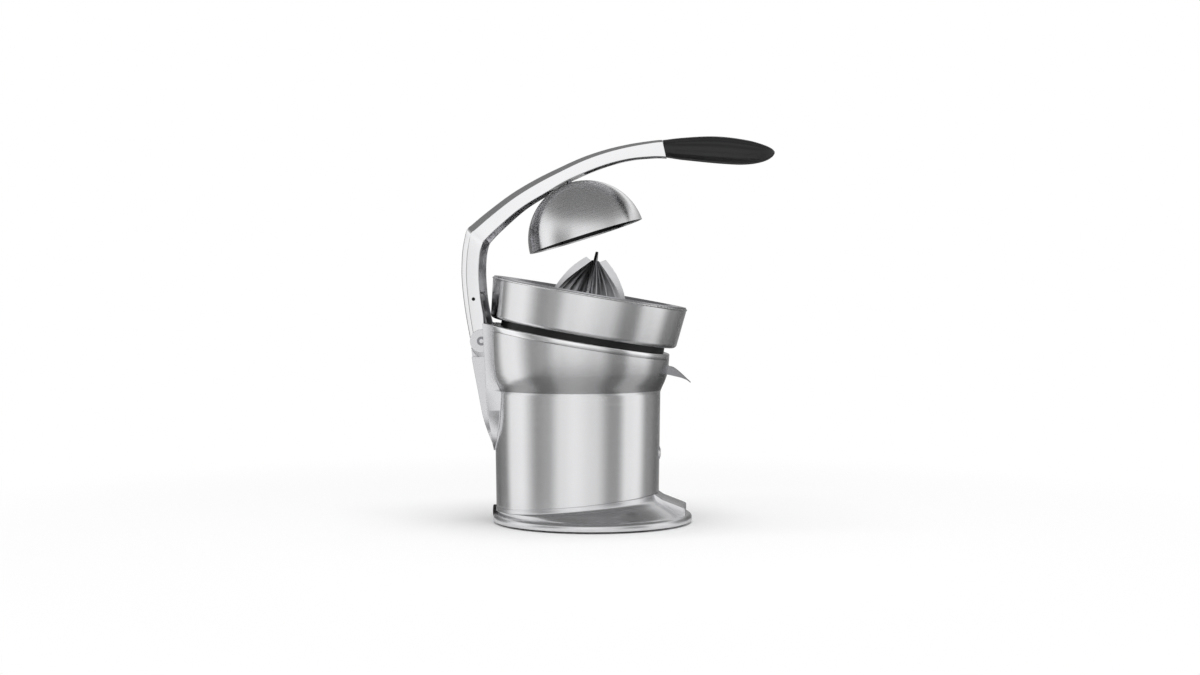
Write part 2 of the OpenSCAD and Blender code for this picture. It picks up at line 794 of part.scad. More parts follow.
module power_switch() {
    color([0.08, 0.08, 0.1]) translate([bezel_x - switch_tube, 0, button_z]) rotate([0, 90, 0]) {
        translate([-switch_size[0] / 2, -switch_size[1] / 2, -switch_size[2]]) cube([switch_size[0], switch_size[1], switch_size[2] + over]);
        difference() {
            cylinder(r = bezel_r + switch_rim, h = switch_tube);
            translate([0, 0, switch_floor]) cylinder(r = button_r + flange_out + 2 * touch_gap, h = far);
        }
    }
}

module button_bezel() {
    color([0.75, 0.75, 0.77]) translate([bezel_x, 0, button_z]) rotate([0, 90, 0]) difference() {
        cylinder(r = bezel_r - run_gap, h = bezel_back + shell_t + bezel_out);
        translate([0, 0, -over]) cylinder(r = button_r + button_gap, h = far);
    }
}

module power_button() {
    color([0.9, 0.9, 0.9]) translate([bezel_x - touch_gap - flange_t, 0, button_z]) rotate([0, 90, 0]) {
        cylinder(r = button_r, h = flange_t + touch_gap + bezel_back + shell_t + button_out);
        cylinder(r = button_r + flange_out, h = flange_t);
    }
}

// Juice leaves the bowl through the duct under the deck and the hinged spout
barrel_x = body_r_at(barrel_z) - 5;
spout_reach = 31;
spout_drop = 15;
duct_wall = 3;
duct_end_wall = 4;
duct_side_gap = 1;
duct_side_wall = 2;
duct_tall = 60;
duct_over = 2;
duct_under = 14;
duct_collar = 2.4;
duct_bore_out = 0.6;
duct_way_up = 4;

module juice_duct() {
    inlet = [deck_x + drain_x * cos(deck_tilt), deck_z - drain_x * sin(deck_tilt)];
    color([0.15, 0.15, 0.16]) difference() {
        union() {
            intersection() {
                translate([inlet[0] - drain_r - duct_end_wall, duct_side_gap - window_half, barrel_z - barrel_r - duct_wall])
                    cube([barrel_x - inlet[0] + drain_r + duct_end_wall - touch_gap,
                          2 * (window_half - duct_side_gap), duct_tall]);
                below_deck(ring_top - deck_plate_t);
            }
            on_deck(-duct_over) translate([drain_x, 0, 0]) cylinder(r = drain_r + duct_collar, h = ring_top + duct_over);
        }
        on_deck(-duct_under) translate([drain_x, 0, 0]) cylinder(r = drain_r + duct_bore_out, h = far);
        translate([inlet[0] - drain_r, duct_side_gap + duct_side_wall - window_half, barrel_z - barrel_r])
            cube([far, 2 * (window_half - duct_side_gap - duct_side_wall), barrel_r + duct_way_up]);
        translate([barrel_x, 0, barrel_z]) rotate([90, 0, 0]) cylinder(r = barrel_r + touch_gap, h = far, center = true);
    }
}

// Points along the top and the underside of the spout, as shares of its reach and drop
spout_pin_r = 1.5;
pin_end_gap = 0.2;
spout_top_shares = [[0, 0.28], [0.2, 0.22], [0.36, 0.14], [0.52, -0.1], [0.7, -0.42], [0.85, -0.72], [1, -1]];
spout_low_shares = [[0.86, -0.78], [0.66, -0.62], [0.45, -0.52], [0.25, -0.42], [0, -0.32]];

module spout_side(inset) {
    top = smooth_rows(spout_top_shares, 2);
    polygon(concat([for (p = top) [p[0] * spout_reach, p[1] * spout_drop - inset]],
                   [for (p = spout_low_shares) [p[0] * spout_reach, p[1] * spout_drop + inset]]));
}

module spout() {
    color([0.75, 0.75, 0.77]) translate([barrel_x, 0, barrel_z]) difference() {
        union() {
            rotate([90, 0, 0]) linear_extrude(height = spout_w, center = true) spout_side(0);
            rotate([90, 0, 0]) cylinder(r = barrel_r, h = spout_w, center = true);
        }
        rotate([90, 0, 0]) linear_extrude(height = spout_w - 2 * spout_t, center = true) spout_hollow();
        rotate([90, 0, 0]) cylinder(r = spout_pin_r + run_gap, h = far, center = true);
    }
}

// The juice's way through the spout: open at the barrel's back and along the underside of the lip
module spout_hollow() {
    polygon([[-barrel_r - over, barrel_r * 0.6], [0, barrel_r * 0.34], [spout_reach * 0.36, 0.14 * spout_drop - spout_t],
             [spout_reach * 0.52, -0.1 * spout_drop - spout_t], [spout_reach * 0.7, -0.42 * spout_drop - spout_t],
             [spout_reach * 0.85, -0.72 * spout_drop - spout_t], [spout_reach * 1.06, -1.1 * spout_drop - spout_t],
             [spout_reach * 0.8, -spout_drop], [spout_reach * 0.62, -0.62 * spout_drop + spout_t],
             [spout_reach * 0.25, -0.42 * spout_drop + spout_t], [0, -0.32 * spout_drop + spout_t],
             [-barrel_r - over, -barrel_r * 0.29]]);
}

module spout_pin() {
    color([0.6, 0.6, 0.62]) translate([barrel_x, 0, barrel_z]) rotate([90, 0, 0]) cylinder(r = spout_pin_r, h = 2 * (window_half - pin_end_gap), center = true);
}

// The bowl and its filter

module bowl_outline(skin) {
    foot_r = bowl_r - bowl_draft;
    rotate_extrude() {
        polygon([[0, skin], [foot_r - bowl_round, skin], [foot_r - skin, bowl_round], [bowl_r - skin, bowl_h + skin * 2], [0, bowl_h + skin * 2]]);
        if (skin == 0) intersection() {
            translate([foot_r - bowl_round, bowl_round]) circle(r = bowl_round);
            translate([foot_r - bowl_round, 0]) square([bowl_round, bowl_round]);
        }
        if (skin > 0) intersection() {
            translate([foot_r - bowl_round, bowl_round]) circle(r = bowl_round - skin);
            translate([foot_r - bowl_round, 0]) square([bowl_round, bowl_round]);
        }
    }
}

sleeve_r = 10;
sleeve_gap = 9;
sleeve_wall = 2;
drain_over = 1;
drain_wall = 1.2;

module bowl() {
    color([0.74, 0.74, 0.75]) on_deck(bowl_floor) difference() {
        union() {
            difference() {
                bowl_outline(0);
                bowl_outline(bowl_t);
            }
            cylinder(r = sleeve_r, h = bowl_h - cone_sink - sleeve_gap);
            translate([drain_x, 0, drain_over - seat_h]) cylinder(r = drain_r, h = seat_h + bowl_t - drain_over);
            translate([0, 0, bowl_h]) rotate_extrude() translate([bowl_r - bowl_t / 2, -bowl_t / 2]) circle(r = bowl_t);
        }
        translate([0, 0, -over]) cylinder(r = sleeve_r - sleeve_wall, h = far);
        translate([drain_x, 0, -far / 2]) cylinder(r = drain_r - drain_wall, h = far);
    }
}

basket_r = bowl_r - 2.5;
basket_floor = 12;
basket_sleeve_r = 15;

module filter_basket() {
    depth = bowl_h - basket_floor;
    color([0.7, 0.7, 0.72]) on_deck(bowl_floor) difference() {
        rotate_extrude() polygon([
            [basket_r + 1.5, bowl_h + bowl_t / 2], [basket_r + 1.5, bowl_h + bowl_t / 2 + 1.4], [basket_r - 5, bowl_h + bowl_t / 2 + 1.4],
            [basket_r - 14, bowl_h - 10 + bowl_t], [basket_r * 0.52, basket_floor + 4 + bowl_t],
            [basket_sleeve_r + bowl_t, basket_floor + bowl_t], [basket_sleeve_r + bowl_t, bowl_h - cone_sink - 4],
            [basket_sleeve_r, bowl_h - cone_sink - 4], [basket_sleeve_r, basket_floor], [basket_r * 0.52, basket_floor + 4],
            [basket_r - 13, bowl_h - 11], [basket_r - 4, bowl_h + bowl_t / 2]]);
        for (k = [0:slot_count - 1]) rotate([0, 0, (k + 0.5) * 360 / slot_count])
            translate([basket_r * 0.55, -1, 0]) cube([basket_r * 0.27, 2, far]);
    }
}

// The cone: shares of its height and of fin_r along the fins and along the core
cone_h = cone_rise + cone_sink;
cone_z = rim_top - cone_sink;
fin_shares = [[0.0, 1.01], [0.08, 1.0], [0.2, 0.95], [0.34, 0.86], [0.5, 0.73], [0.64, 0.59], [0.77, 0.42], [0.88, 0.25], [0.96, 0.11], [1, 0.03]];
core_shares = [[0.0, 0.92], [0.1, 0.88], [0.22, 0.79], [0.36, 0.66], [0.5, 0.5], [0.63, 0.33], [0.74, 0.18], [0.8, 0.1]];
core_top_share = 0.745;
cone_foot = 4;
notch_r_share = 0.27;
notch_top_share = 0.87;
notch_low_share = 0.77;

module cone_form(shares, lift = 0) {
    rotate_extrude() polygon(concat([[0, 0]],
        [for (s = smooth_rows(shares, 2)) [fin_r * s[1], lift + (cone_h - lift) * s[0]]],
        [[0, lift + (cone_h - lift) * shares[len(shares) - 1][0]]]));
}

flute_depth_share = 0.16;

// Rings of the fluted core: the flutes fade out towards its top
function core_ring(row) =
    [for (k = [0:flute_count - 1]) for (half = [0, 1])
        let (a = (k + half / 2) * 360 / flute_count, r = fin_r * row[1] * (1 - half * flute_depth_share))
        [r * cos(a), r * sin(a), cone_h * row[0]]];

module cone_core() {
    color([0.1, 0.1, 0.11]) on_deck(cone_z) difference() {
        union() {
            rotate([0, 0, 90 / flute_count]) loft([for (row = core_shares) core_ring(row)]);
            translate([0, 0, -over]) cylinder(r = fin_r * 1.03, h = cone_foot - 2 * over);
        }
        translate([0, 0, -2 * over]) cylinder(r = shaft_r + touch_gap, h = cone_foot);
        translate([0, 0, -2 * over]) cylinder(r = hex_r + run_gap, h = shaft_top - cone_z + 1, $fn = 6);
        translate([-fin_r, -fin_r, cone_h * core_top_share]) cube(2 * fin_r);
        // Cross slots that hold the fins
        fin_cross();
    }
}

module fin_cross() {
    for (a = [0, 90]) rotate([0, 0, a]) translate([-fin_r * 2, -fin_t / 2, cone_foot]) cube([fin_r * 4, fin_t, far]);
}

// One fin rises to the tip, and the other is cut down beside it
module fin_notch() {
    for (side = [-1, 1]) rotate([90, 0, 0]) linear_extrude(height = 2 * fin_r, center = true)
        polygon([[side * fin_t / 2, cone_h * notch_low_share], [side * fin_r * notch_r_share, cone_h * notch_top_share],
                 [side * fin_r * notch_r_share, cone_h + over], [side * fin_t / 2, cone_h + over]]);
}

module cone_fins() {
    color([0.85, 0.85, 0.86]) on_deck(cone_z) difference() {
        intersection() {
            cone_form(fin_shares);
            fin_cross();
        }
        fin_notch();
        translate([0, 0, -over]) cylinder(r = shaft_r + fin_t / 2, h = shaft_top - cone_z + 2);
    }
}

// The rocker and the arm

rocker_t = 7;
rocker_in = 22;
rocker_low_r = 9.3;
rocker_high_r = 8;
pin_x = -hinge_back - pin_back;
pin_z = hinge_z + pin_up;
link_len = norm([pin_back, pin_up]);
link_turn = atan2(pin_back, pin_up);

// Puts its children at the rocker's axle with +Z towards the arm pin
module on_rocker() {
    translate([-hinge_back, 0, hinge_z]) rotate([0, -link_turn, 0]) children();
}

module rocker_link() {
    waist = rocker_high_r * 0.8;
    color([0.5, 0.51, 0.53]) on_rocker() difference() {
        union() {
            for (side = [-1, 1]) translate([0, side * (rocker_in + rocker_t / 2), 0]) rotate([90, 0, 0])
                linear_extrude(height = rocker_t, center = true) {
                    circle(r = rocker_low_r);
                    translate([0, link_len]) circle(r = rocker_high_r);
                    polygon([[-rocker_low_r, 0], [-rocker_high_r, link_len], [rocker_high_r, link_len], [rocker_low_r, 0]]);
                }
            translate([0, 0, link_len * 0.6]) rotate([90, 0, 0]) cylinder(r = waist, h = 2 * rocker_in + rocker_t, center = true);
            translate([0, 0, link_len]) rotate([90, 0, 0]) cylinder(r = waist, h = 2 * rocker_in + rocker_t, center = true);
        }
        rotate([90, 0, 0]) cylinder(r = axle_r + run_gap, h = far, center = true);
        translate([0, 0, link_len]) rotate([90, 0, 0]) cylinder(r = pin_r + run_gap, h = far, center = true);
    }
}

module hinge_axle() {
    half = rocker_in + rocker_t + 1;
    color([0.6, 0.6, 0.62]) translate([-hinge_back, 0, hinge_z]) rotate([90, 0, 0]) {
        cylinder(r = axle_r, h = 2 * half, center = true);
        for (side = [-1, 1]) translate([0, 0, side * (half - 0.5)]) cylinder(r = axle_r + 2, h = 0.8, center = true);
    }
}

pin_proud = 0.2;

module arm_pin() {
    color([0.5, 0.5, 0.52]) translate([pin_x, 0, pin_z]) rotate([90, 0, 0])
        difference() {
            cylinder(r = pin_r, h = 2 * (arm_w + pin_proud), center = true);
            cylinder(r = pin_r * 0.45, h = far, center = true);
        }
}

// Two torsion springs round the axle, one on each side of the lug, each wound as one wire
spring_wire_r = 1;
spring_turns = 3;
spring_pitch = 2.3;
spring_rings = 8;
spring_sides = 6;
spring_leg = 5;

function coil_point(a) = [spring_r * cos(a), spring_r * sin(a), spring_pitch * a / 360];
// The wire's middle line: a straight leg, the turns, and a second leg
function coil_path() = concat(
    [[spring_r, -spring_leg, 0]],
    [for (k = [0:spring_rings * spring_turns]) coil_point(k * 360 / spring_rings)],
    [[spring_r, spring_leg, spring_pitch * spring_turns]]);

// A round wire along a path, with its rings square to it
module wire(path, r, sides) {
    last = len(path) - 1;
    loft([for (k = [0:last])
        let (ahead = path[min(last, k + 1)] - path[max(0, k - 1)], t = ahead / norm(ahead),
             side = cross([0, 0, 1], t), u = side / norm(side), v = cross(t, u))
        [for (j = [0:sides - 1]) path[k] + r * (cos(j * 360 / sides) * u + sin(j * 360 / sides) * v)]]);
}

module return_springs() {
    color([0.4, 0.4, 0.42]) for (side = [-1, 1]) translate([-hinge_back, 0, hinge_z]) rotate([side * 90, 0, 0])
        translate([0, 0, lug_half + spring_wire_r + touch_gap]) wire(coil_path(), spring_wire_r, spring_sides);
}

// Stations along the arm, from the foot to the grip. Columns: outer x and z, inner x and z
// (shares of arm_reach and arm_rise from the axle), half width share of arm_w, bevel share of arm_bevel
arm_shares = [
    [-0.0577, -0.036, 0.0140, -0.0130, 1.00, 0.70], [-0.0861, 0.100, 0.0140, 0.1010, 1.00, 0.75],
    [-0.1037, 0.202, -0.0050, 0.2100, 1.00, 0.80], [-0.1145, 0.303, -0.0140, 0.3060, 1.00, 0.82],
    [-0.1160, 0.373, -0.0147, 0.3720, 0.99, 0.86], [-0.1106, 0.454, -0.0088, 0.4370, 0.98, 0.90],
    [-0.0960, 0.528, 0.0000, 0.4700, 0.96, 0.96], [-0.0840, 0.560, 0.0080, 0.4880, 0.94, 1.00],
    [-0.0560, 0.582, 0.0260, 0.5080, 0.93, 1.00], [0.0245, 0.642, 0.0910, 0.5645, 0.88, 0.94],
    [0.1575, 0.731, 0.2190, 0.6616, 0.81, 0.84], [0.2900, 0.802, 0.3460, 0.7320, 0.74, 0.75],
    [0.4227, 0.861, 0.4660, 0.7950, 0.67, 0.66], [0.5558, 0.914, 0.5860, 0.8430, 0.61, 0.57],
    [0.6884, 0.953, 0.7084, 0.8815, 0.56, 0.49], [0.8214, 0.980, 0.8307, 0.9060, 0.51, 0.42],
    [0.9540, 0.997, 0.9530, 0.9156, 0.475, 0.35], [1.0000, 1.000, 1.0000, 0.9143, 0.46, 0.32]];
arm_rows = smooth_rows(arm_shares, 2);

function arm_outer(row) = [row[0] * arm_reach - hinge_back, row[1] * arm_rise + hinge_z];
function arm_inner(row) = [row[2] * arm_reach - hinge_back, row[3] * arm_rise + hinge_z];

// The arm's outline at a station, with bevelled outer edges: shares of the depth and of the half width
function arm_ring(row) =
    let (w = row[4] * arm_w, b = row[5] * arm_bevel, depth = arm_depth(row))
    arm_section(row, [[0, w], [depth - b, w], [depth - b * 0.4, w - b * 0.3], [depth, w - b],
                      [depth, b - w], [depth - b * 0.4, b * 0.3 - w], [depth - b, -w], [0, -w]]);

// The channel inside it, open on the arm's inner side
function channel_ring(row) =
    let (w = row[4] * arm_w - arm_wall, b = row[5] * arm_bevel, depth = arm_depth(row) - arm_wall)
    arm_section(row, [[-channel_over, w], [depth - b * 0.8, w], [depth, w - b * 0.8],
                      [depth, b * 0.8 - w], [depth - b * 0.8, -w], [-channel_over, -w]]);

function arm_depth(row) = norm(arm_outer(row) - arm_inner(row));
function arm_section(row, points) =
    let (o = arm_outer(row), i = arm_inner(row), u = (o - i) / norm(o - i))
    [for (p = points) [i[0] + u[0] * p[0], p[1], i[1] + u[1] * p[0]]];

channel_over = 1.6;
// The channel's stations run one step past both ends of the arm
last_row = len(arm_rows) - 1;
channel_rows = concat([2 * arm_rows[0] - arm_rows[1]], arm_rows, [2 * arm_rows[last_row] - arm_rows[last_row - 1]]);

heel_proud = 0.2;
heel_low = 3.1;
heel_top_share = 0.118;

module arm_heel() {
    top = arm_rise * heel_top_share;
    color([0.8, 0.8, 0.82]) for (side = [-1, 1]) translate([-hinge_back, side * (arm_w - arm_wall / 2), hinge_z])
        rotate([90, 0, 0]) linear_extrude(height = arm_wall + heel_proud, center = true) {
            translate([heel_ahead, -heel_low]) circle(r = heel_r);
            polygon([[heel_ahead - heel_r * 0.94, -heel_low - heel_r * 0.32], [heel_ahead + heel_r * 0.9, heel_r * 0.25],
                     [0.014 * arm_reach, top], [-0.05 * arm_reach, top]]);
        }
}

module arm_casting() {
    color([0.8, 0.8, 0.82]) difference() {
        union() {
            difference() {
                loft([for (row = arm_rows) arm_ring(row)]);
                loft([for (row = channel_rows) channel_ring(row)]);
            }
            arm_heel();
        }
        translate([pin_x, 0, pin_z]) rotate([90, 0, 0]) cylinder(r = pin_r + 0.01, h = far, center = true);
    }
}

// The tang closes the channel's end and carries the grip
tang_len = grip_len * 0.75;
tang_half = 5;
tang_z = hinge_z + arm_rise * 0.957;
tang_block = 12;
tang_w_share = 0.744;
tang_gap = 0.2;

module grip_tang() {
    color([0.5, 0.5, 0.52]) {
        translate([grip_x - tang_block, -arm_w * tang_w_share / 2, tang_z - tang_half])
            cube([tang_block - tang_gap, arm_w * tang_w_share, 2 * tang_half]);
        translate([grip_x - 1, -tang_half, tang_z - tang_half * 0.7]) cube([tang_len, 2 * tang_half, tang_half * 1.4]);
    }
}

// Ring-shaped caps on the arm's walls, in line with the axle while the arm is up
cap_t = 0.6;

module axle_caps() {
    color([0.6, 0.6, 0.62]) for (side = [-1, 1]) translate([-hinge_back, side * (arm_w + heel_proud / 2 + cap_t / 2), hinge_z])
        rotate([90, 0, 0]) difference() {
            cylinder(r = axle_r * 1.29, h = cap_t, center = true);
            cylinder(r = axle_r * 0.58, h = far, center = true);
        }
}

bump_r = 3;
bump_h = 1.2;

module bump_stop() {
    color([0.08, 0.08, 0.08]) translate([-hinge_back - lug_r - bump_r - 1, 0, spine_z + spine_h]) cylinder(r = bump_r, h = bump_h);
}

// Sections of the grip: shares of grip_len, of grip_h over and under the tip, and of grip_w
grip_shares = [
    [0.00, 0.485, -0.175, 0.87], [0.10, 0.535, -0.225, 0.93], [0.22, 0.575, -0.280, 0.98], [0.34, 0.605, -0.335, 1.00],
    [0.46, 0.610, -0.387, 1.00], [0.58, 0.575, -0.427, 0.98], [0.69, 0.510, -0.450, 0.93], [0.79, 0.430, -0.430, 0.86],
    [0.87, 0.335, -0.375, 0.75], [0.935, 0.235, -0.285, 0.58], [0.98, 0.130, -0.160, 0.36], [1.00, 0.030, -0.040, 0.12]];
grip_x = arm_reach - hinge_back;
grip_z = hinge_z + arm_rise * 0.9385;
grip_sides = 20;

function grip_ring(row) =
    let (mid = grip_h * (row[1] + row[2]) / 2, up = grip_h * (row[1] - row[2]) / 2)
    [for (k = [0:grip_sides - 1])
        let (a = k * 360 / grip_sides, c = cos(a), s = sin(a))
        [grip_x + 0.2 + grip_len * row[0], grip_w * row[3] * sign(c) * pow(abs(c), 0.75), grip_z + mid + up * sign(s) * pow(abs(s), 0.75)]];

module grip() {
    color([0.07, 0.07, 0.07]) difference() {
        loft([for (row = grip_shares) grip_ring(row)]);
        translate([grip_x - over, -tang_half, tang_z - tang_half * 0.7]) cube([tang_len - over, 2 * tang_half, tang_half * 1.4]);
    }
}

// The press cup, its bracket in the arm's channel and the screw through both
module on_dome(h = 0) {
    translate([dome_x, 0, dome_z]) rotate([0, -dome_tilt, 0]) translate([0, 0, h]) children();
}

dome_h = dome_r - dome_low;
dome_screw_r = 3;
bracket_back = 30;
bracket_front = 20;
bracket_t = 5;
bracket_back_share = 0.636;
bracket_front_share = 0.517;
bracket_gap = 0.1;
dome_boss_r = 9;
dome_boss_h = 5;
liner_rib_t = 1.8;
liner_rib_in = 14;
liner_rib_h = 2;
liner_lift = 1.5;
liner_hole_r = 10;
screw_low = 8;
screw_head_r = 5.5;
screw_head_h = 3;
screw_foot_r = 8;

module press_dome() {
    color([0.74, 0.74, 0.75]) on_dome(-dome_low) difference() {
        union() {
            difference() {
                sphere(r = dome_r);
                sphere(r = dome_r - dome_t);
            }
            translate([0, 0, dome_r - dome_boss_h - 2 * over]) cylinder(r = dome_boss_r, h = dome_boss_h);
        }
        translate([-far, -far, -2 * far + dome_low]) cube([2 * far, 2 * far, 2 * far]);
        cylinder(r = dome_screw_r, h = far);
    }
}

module dome_liner() {
    inner = dome_r - dome_t - liner_t;
    color([0.1, 0.1, 0.11]) on_dome(-dome_low) difference() {
        union() {
            difference() {
                sphere(r = dome_r - dome_t);
                sphere(r = inner);
            }
            intersection() {
                sphere(r = dome_r - dome_t - liner_t / 2);
                for (k = [0:ridge_count - 1]) rotate([0, 0, k * 360 / ridge_count]) translate([liner_rib_in, -liner_rib_t / 2, 0]) cube([far, liner_rib_t, far]);
                difference() {
                    sphere(r = far);
                    sphere(r = inner - liner_rib_h);
                }
            }
        }
        translate([-far, -far, -2 * far + dome_low + liner_lift]) cube([2 * far, 2 * far, 2 * far]);
        cylinder(r = liner_hole_r, h = far);
    }
}

module dome_bracket() {
    color([0.9, 0.9, 0.9]) difference() {
        intersection() {
            on_dome(dome_h + bracket_gap) linear_extrude(height = bracket_t) polygon([
                [-bracket_back, -arm_w * bracket_back_share], [bracket_front, -arm_w * bracket_front_share],
                [bracket_front, arm_w * bracket_front_share], [-bracket_back, arm_w * bracket_back_share]]);
            rotate([90, 0, 0]) linear_extrude(height = far, center = true)
                polygon(concat([for (row = arm_rows) arm_inner(row)], [for (i = [len(arm_rows) - 1:-1:0]) arm_outer(arm_rows[i])]));
        }
        on_dome(0) cylinder(r = dome_screw_r, h = far);
    }
}

module dome_screw() {
    color([0.6, 0.6, 0.62]) on_dome(dome_h - screw_low) {
        cylinder(r = dome_screw_r, h = screw_low + bracket_t + 1);
        translate([0, 0, screw_low + bracket_t + bracket_gap]) cylinder(r = screw_head_r, h = screw_head_h);
        translate([0, 0, -screw_head_h / 2]) cylinder(r = screw_foot_r, h = screw_head_h);
    }
}

base_casting();
base_plate();
rubber_foot();
base_screws();
cord_inlet();
body_shell();
deck_ring();
seat_ring();
fairing_cheeks();
rear_spine();
spine_screws();
gearbox_frame();
gearbox_screws();
motor_can();
motor_screws();
motor_rotor();
idler_gear();
idler_pin();
output_gear();
drive_shaft();
shaft_bush();
shaft_seal();
circuit_board();
board_posts();
arm_switch();
power_switch();
button_bezel();
power_button();
juice_duct();
spout();
spout_pin();
bowl();
filter_basket();
cone_core();
cone_fins();
hinge_axle();
rocker_link();
return_springs();
arm_casting();
arm_pin();
axle_caps();
bump_stop();
grip_tang();
grip();
dome_bracket();
dome_screw();
press_dome();
dome_liner();
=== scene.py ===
# %% [markdown]
# A lever citrus press stands on a white sweep and is seen from its side. The working parts come from the
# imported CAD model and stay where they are, and each of them gets a finish here. The skins that the eye reads
# first, such as the arm, the grip and the brushed body, are built again with smoother curves and small edges.

# %% Load the frame
import math

import bpy
import bmesh
from mathutils import Matrix, Vector


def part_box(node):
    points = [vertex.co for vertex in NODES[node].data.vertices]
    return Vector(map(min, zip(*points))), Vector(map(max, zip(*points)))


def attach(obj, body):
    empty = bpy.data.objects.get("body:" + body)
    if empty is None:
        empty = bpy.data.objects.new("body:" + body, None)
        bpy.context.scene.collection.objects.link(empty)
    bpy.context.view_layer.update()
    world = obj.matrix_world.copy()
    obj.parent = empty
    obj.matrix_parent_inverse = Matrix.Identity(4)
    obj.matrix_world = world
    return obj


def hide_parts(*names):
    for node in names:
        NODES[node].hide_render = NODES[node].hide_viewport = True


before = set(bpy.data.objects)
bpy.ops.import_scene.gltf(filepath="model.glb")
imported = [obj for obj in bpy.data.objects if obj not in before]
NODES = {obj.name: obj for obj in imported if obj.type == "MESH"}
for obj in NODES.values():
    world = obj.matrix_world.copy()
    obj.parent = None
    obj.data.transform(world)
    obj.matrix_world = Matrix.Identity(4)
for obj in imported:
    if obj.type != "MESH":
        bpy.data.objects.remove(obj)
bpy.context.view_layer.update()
MM = 0.001
print("CAD nodes:", len(NODES))

# %% [markdown]
# The driving sizes are the ones that the press was designed with, in millimetres and degrees. A skin made
# from the same sizes sits on the node that it dresses. Blender works in metres, so MM scales each point when
# it is made.

# %% Sizes of the base, the body and the deck
BASE_AHEAD = 17.3
BASE_R = 114.4
RIM_LOW = 2.0
RIM_TOP = 11.0
RIM_ROUND = 5.0
BODY_R = 95.4
BODY_DRAFT = 2.2
FLARE_Z = 150.0
FLARE_OUT = 11.6
FLARE_H = 80.0
SEAM_Z = 27.0
SEAM_TILT = 5.3
DECK_X = 4.3
DECK_Z = 204.1
DECK_TURN = math.radians(9.7)
RING_H = 6.8
POCKET_HALF = 37.3
POCKET_Z = 181.0
print("base", 2 * BASE_R, "mm across, deck", DECK_Z, "mm up")

# %% [markdown]
# Smooth outlines come from a few chosen points with a curve through them. Blender's own curves would do as
# well, but each point then needs two handles. The curve here needs none. It passes through every point and
# takes its direction from the neighbours, so the outline keeps the sizes that it was given.

# %% Curves through rows of numbers
SMALLEST_STEP = 1e-9


def blend_rows(rows, i, t):
    """A row of numbers at share t of the way from row i to the next one."""
    a, b, c, d = (rows[max(0, min(len(rows) - 1, k))] for k in (i - 1, i, i + 1, i + 2))
    blended = []
    for p, q, r, s in zip(a, b, c, d):
        straight = 2 * q + (r - p) * t
        bent = straight + (2 * p - 5 * q + 4 * r - s) * t * t
        blended.append(0.5 * (bent + (3 * q - p - 3 * r + s) * t ** 3))
    return blended


def smooth_rows(rows, steps):
    """The rows of a table, with a number of steps along the curve from each one to the next."""
    out = [blend_rows(rows, i, k / steps) for i in range(len(rows) - 1) for k in range(steps)]
    return out + [list(rows[-1])]


def between(rows, place, column):
    """One column of a table at a place between its rows, which are sorted by their first number."""
    for low, high in zip(rows, rows[1:]):
        if low[0] <= place <= high[0]:
            step = max(high[0] - low[0], SMALLEST_STEP)
            return low[column] + (high[column] - low[column]) * (place - low[0]) / step
    return rows[-1][column]


print("halfway from 0 to 10:", between([(0, 0), (1, 10)], 0.5, 1))

# %% [markdown]
# The body, the ring, the base and the cheeks all follow the body's outline, so it is worked out once. The
# sheet draws in a little towards its foot, and under the deck it flares out in the shape of an S.

# %% Outline of the body
# Two places just under the flare: how far under it, and how much the sheet has drawn in there
BODY_EASE = [(8.0, 0.15), (0.4, 0.05)]
FLARE_STEPS = 14
# Shares of the flare's height, and of how far it stands out
FLARE_SHARES = [
    (0, 0), (0.05, 0.12), (0.1, 0.27), (0.16, 0.46), (0.25, 0.67), (0.36, 0.79), (0.5, 0.88), (0.7, 0.95),
    (1, 1)]


def body_profile():
    """Rows of height and radius, from the foot of the body to the top of its flare."""
    straight = [(0.0, BODY_R - BODY_DRAFT), (FLARE_Z / 2, BODY_R - BODY_DRAFT / 2)]
    straight += [(FLARE_Z - below, BODY_R - inset) for below, inset in BODY_EASE]
    flare = smooth_rows(FLARE_SHARES, FLARE_STEPS)[1:]
    return straight + [(FLARE_Z + FLARE_H * height, BODY_R + FLARE_OUT * out) for height, out in flare]


BODY_OUTLINE = body_profile()


def body_r_at(z):
    return between(BODY_OUTLINE, z, 1)


print("body radius at the deck:", round(body_r_at(DECK_Z), 1), "mm")

# %% [markdown]
# Colours are written in sRGB hex, as on a paint card, and one function turns them into the linear values
# that the shader reads. Another adds a node, sets its values and links it, so a material reads as a list of
# its nodes. A third works out a texture's scale from the real size of its grain.

# %% Colour and node helpers
def linear(hex_value):
    """Red, green, blue and alpha in linear light, by the sRGB formula."""
    channels = [int(hex_value[i:i + 2], 16) / 255 for i in (0, 2, 4)]
    return [c / 12.92 if c <= 0.04045 else ((c + 0.055) / 1.055) ** 2.4 for c in channels] + [1.0]


def add(tree, kind, settings=(), links=()):
    """Adds a shader node, with its settings and values by name or number, and links its inputs."""
    node = tree.nodes.new("ShaderNode" + kind)
    for name, value in dict(settings).items():
        if isinstance(name, str) and hasattr(node, name):
            setattr(node, name, value)
        else:
            node.inputs[name].default_value = value
    for name, socket in dict(links).items():
        tree.links.new(socket, node.inputs[name])
    return node


def new_material(name, hex_value, metallic, roughness):
    material = bpy.data.materials.new(name)
    material.use_nodes = True
    tree = material.node_tree
    shader = tree.nodes["Principled BSDF"]
    shader.inputs["Base Color"].default_value = linear(hex_value)
    shader.inputs["Metallic"].default_value = metallic
    shader.inputs["Roughness"].default_value = roughness
    return material, tree, shader


def per_metre(size):
    """A texture's scale, from the size of its grain in millimetres."""
    return 1 / (size * MM)


print("white in linear light:", linear("FFFFFF")[:3])

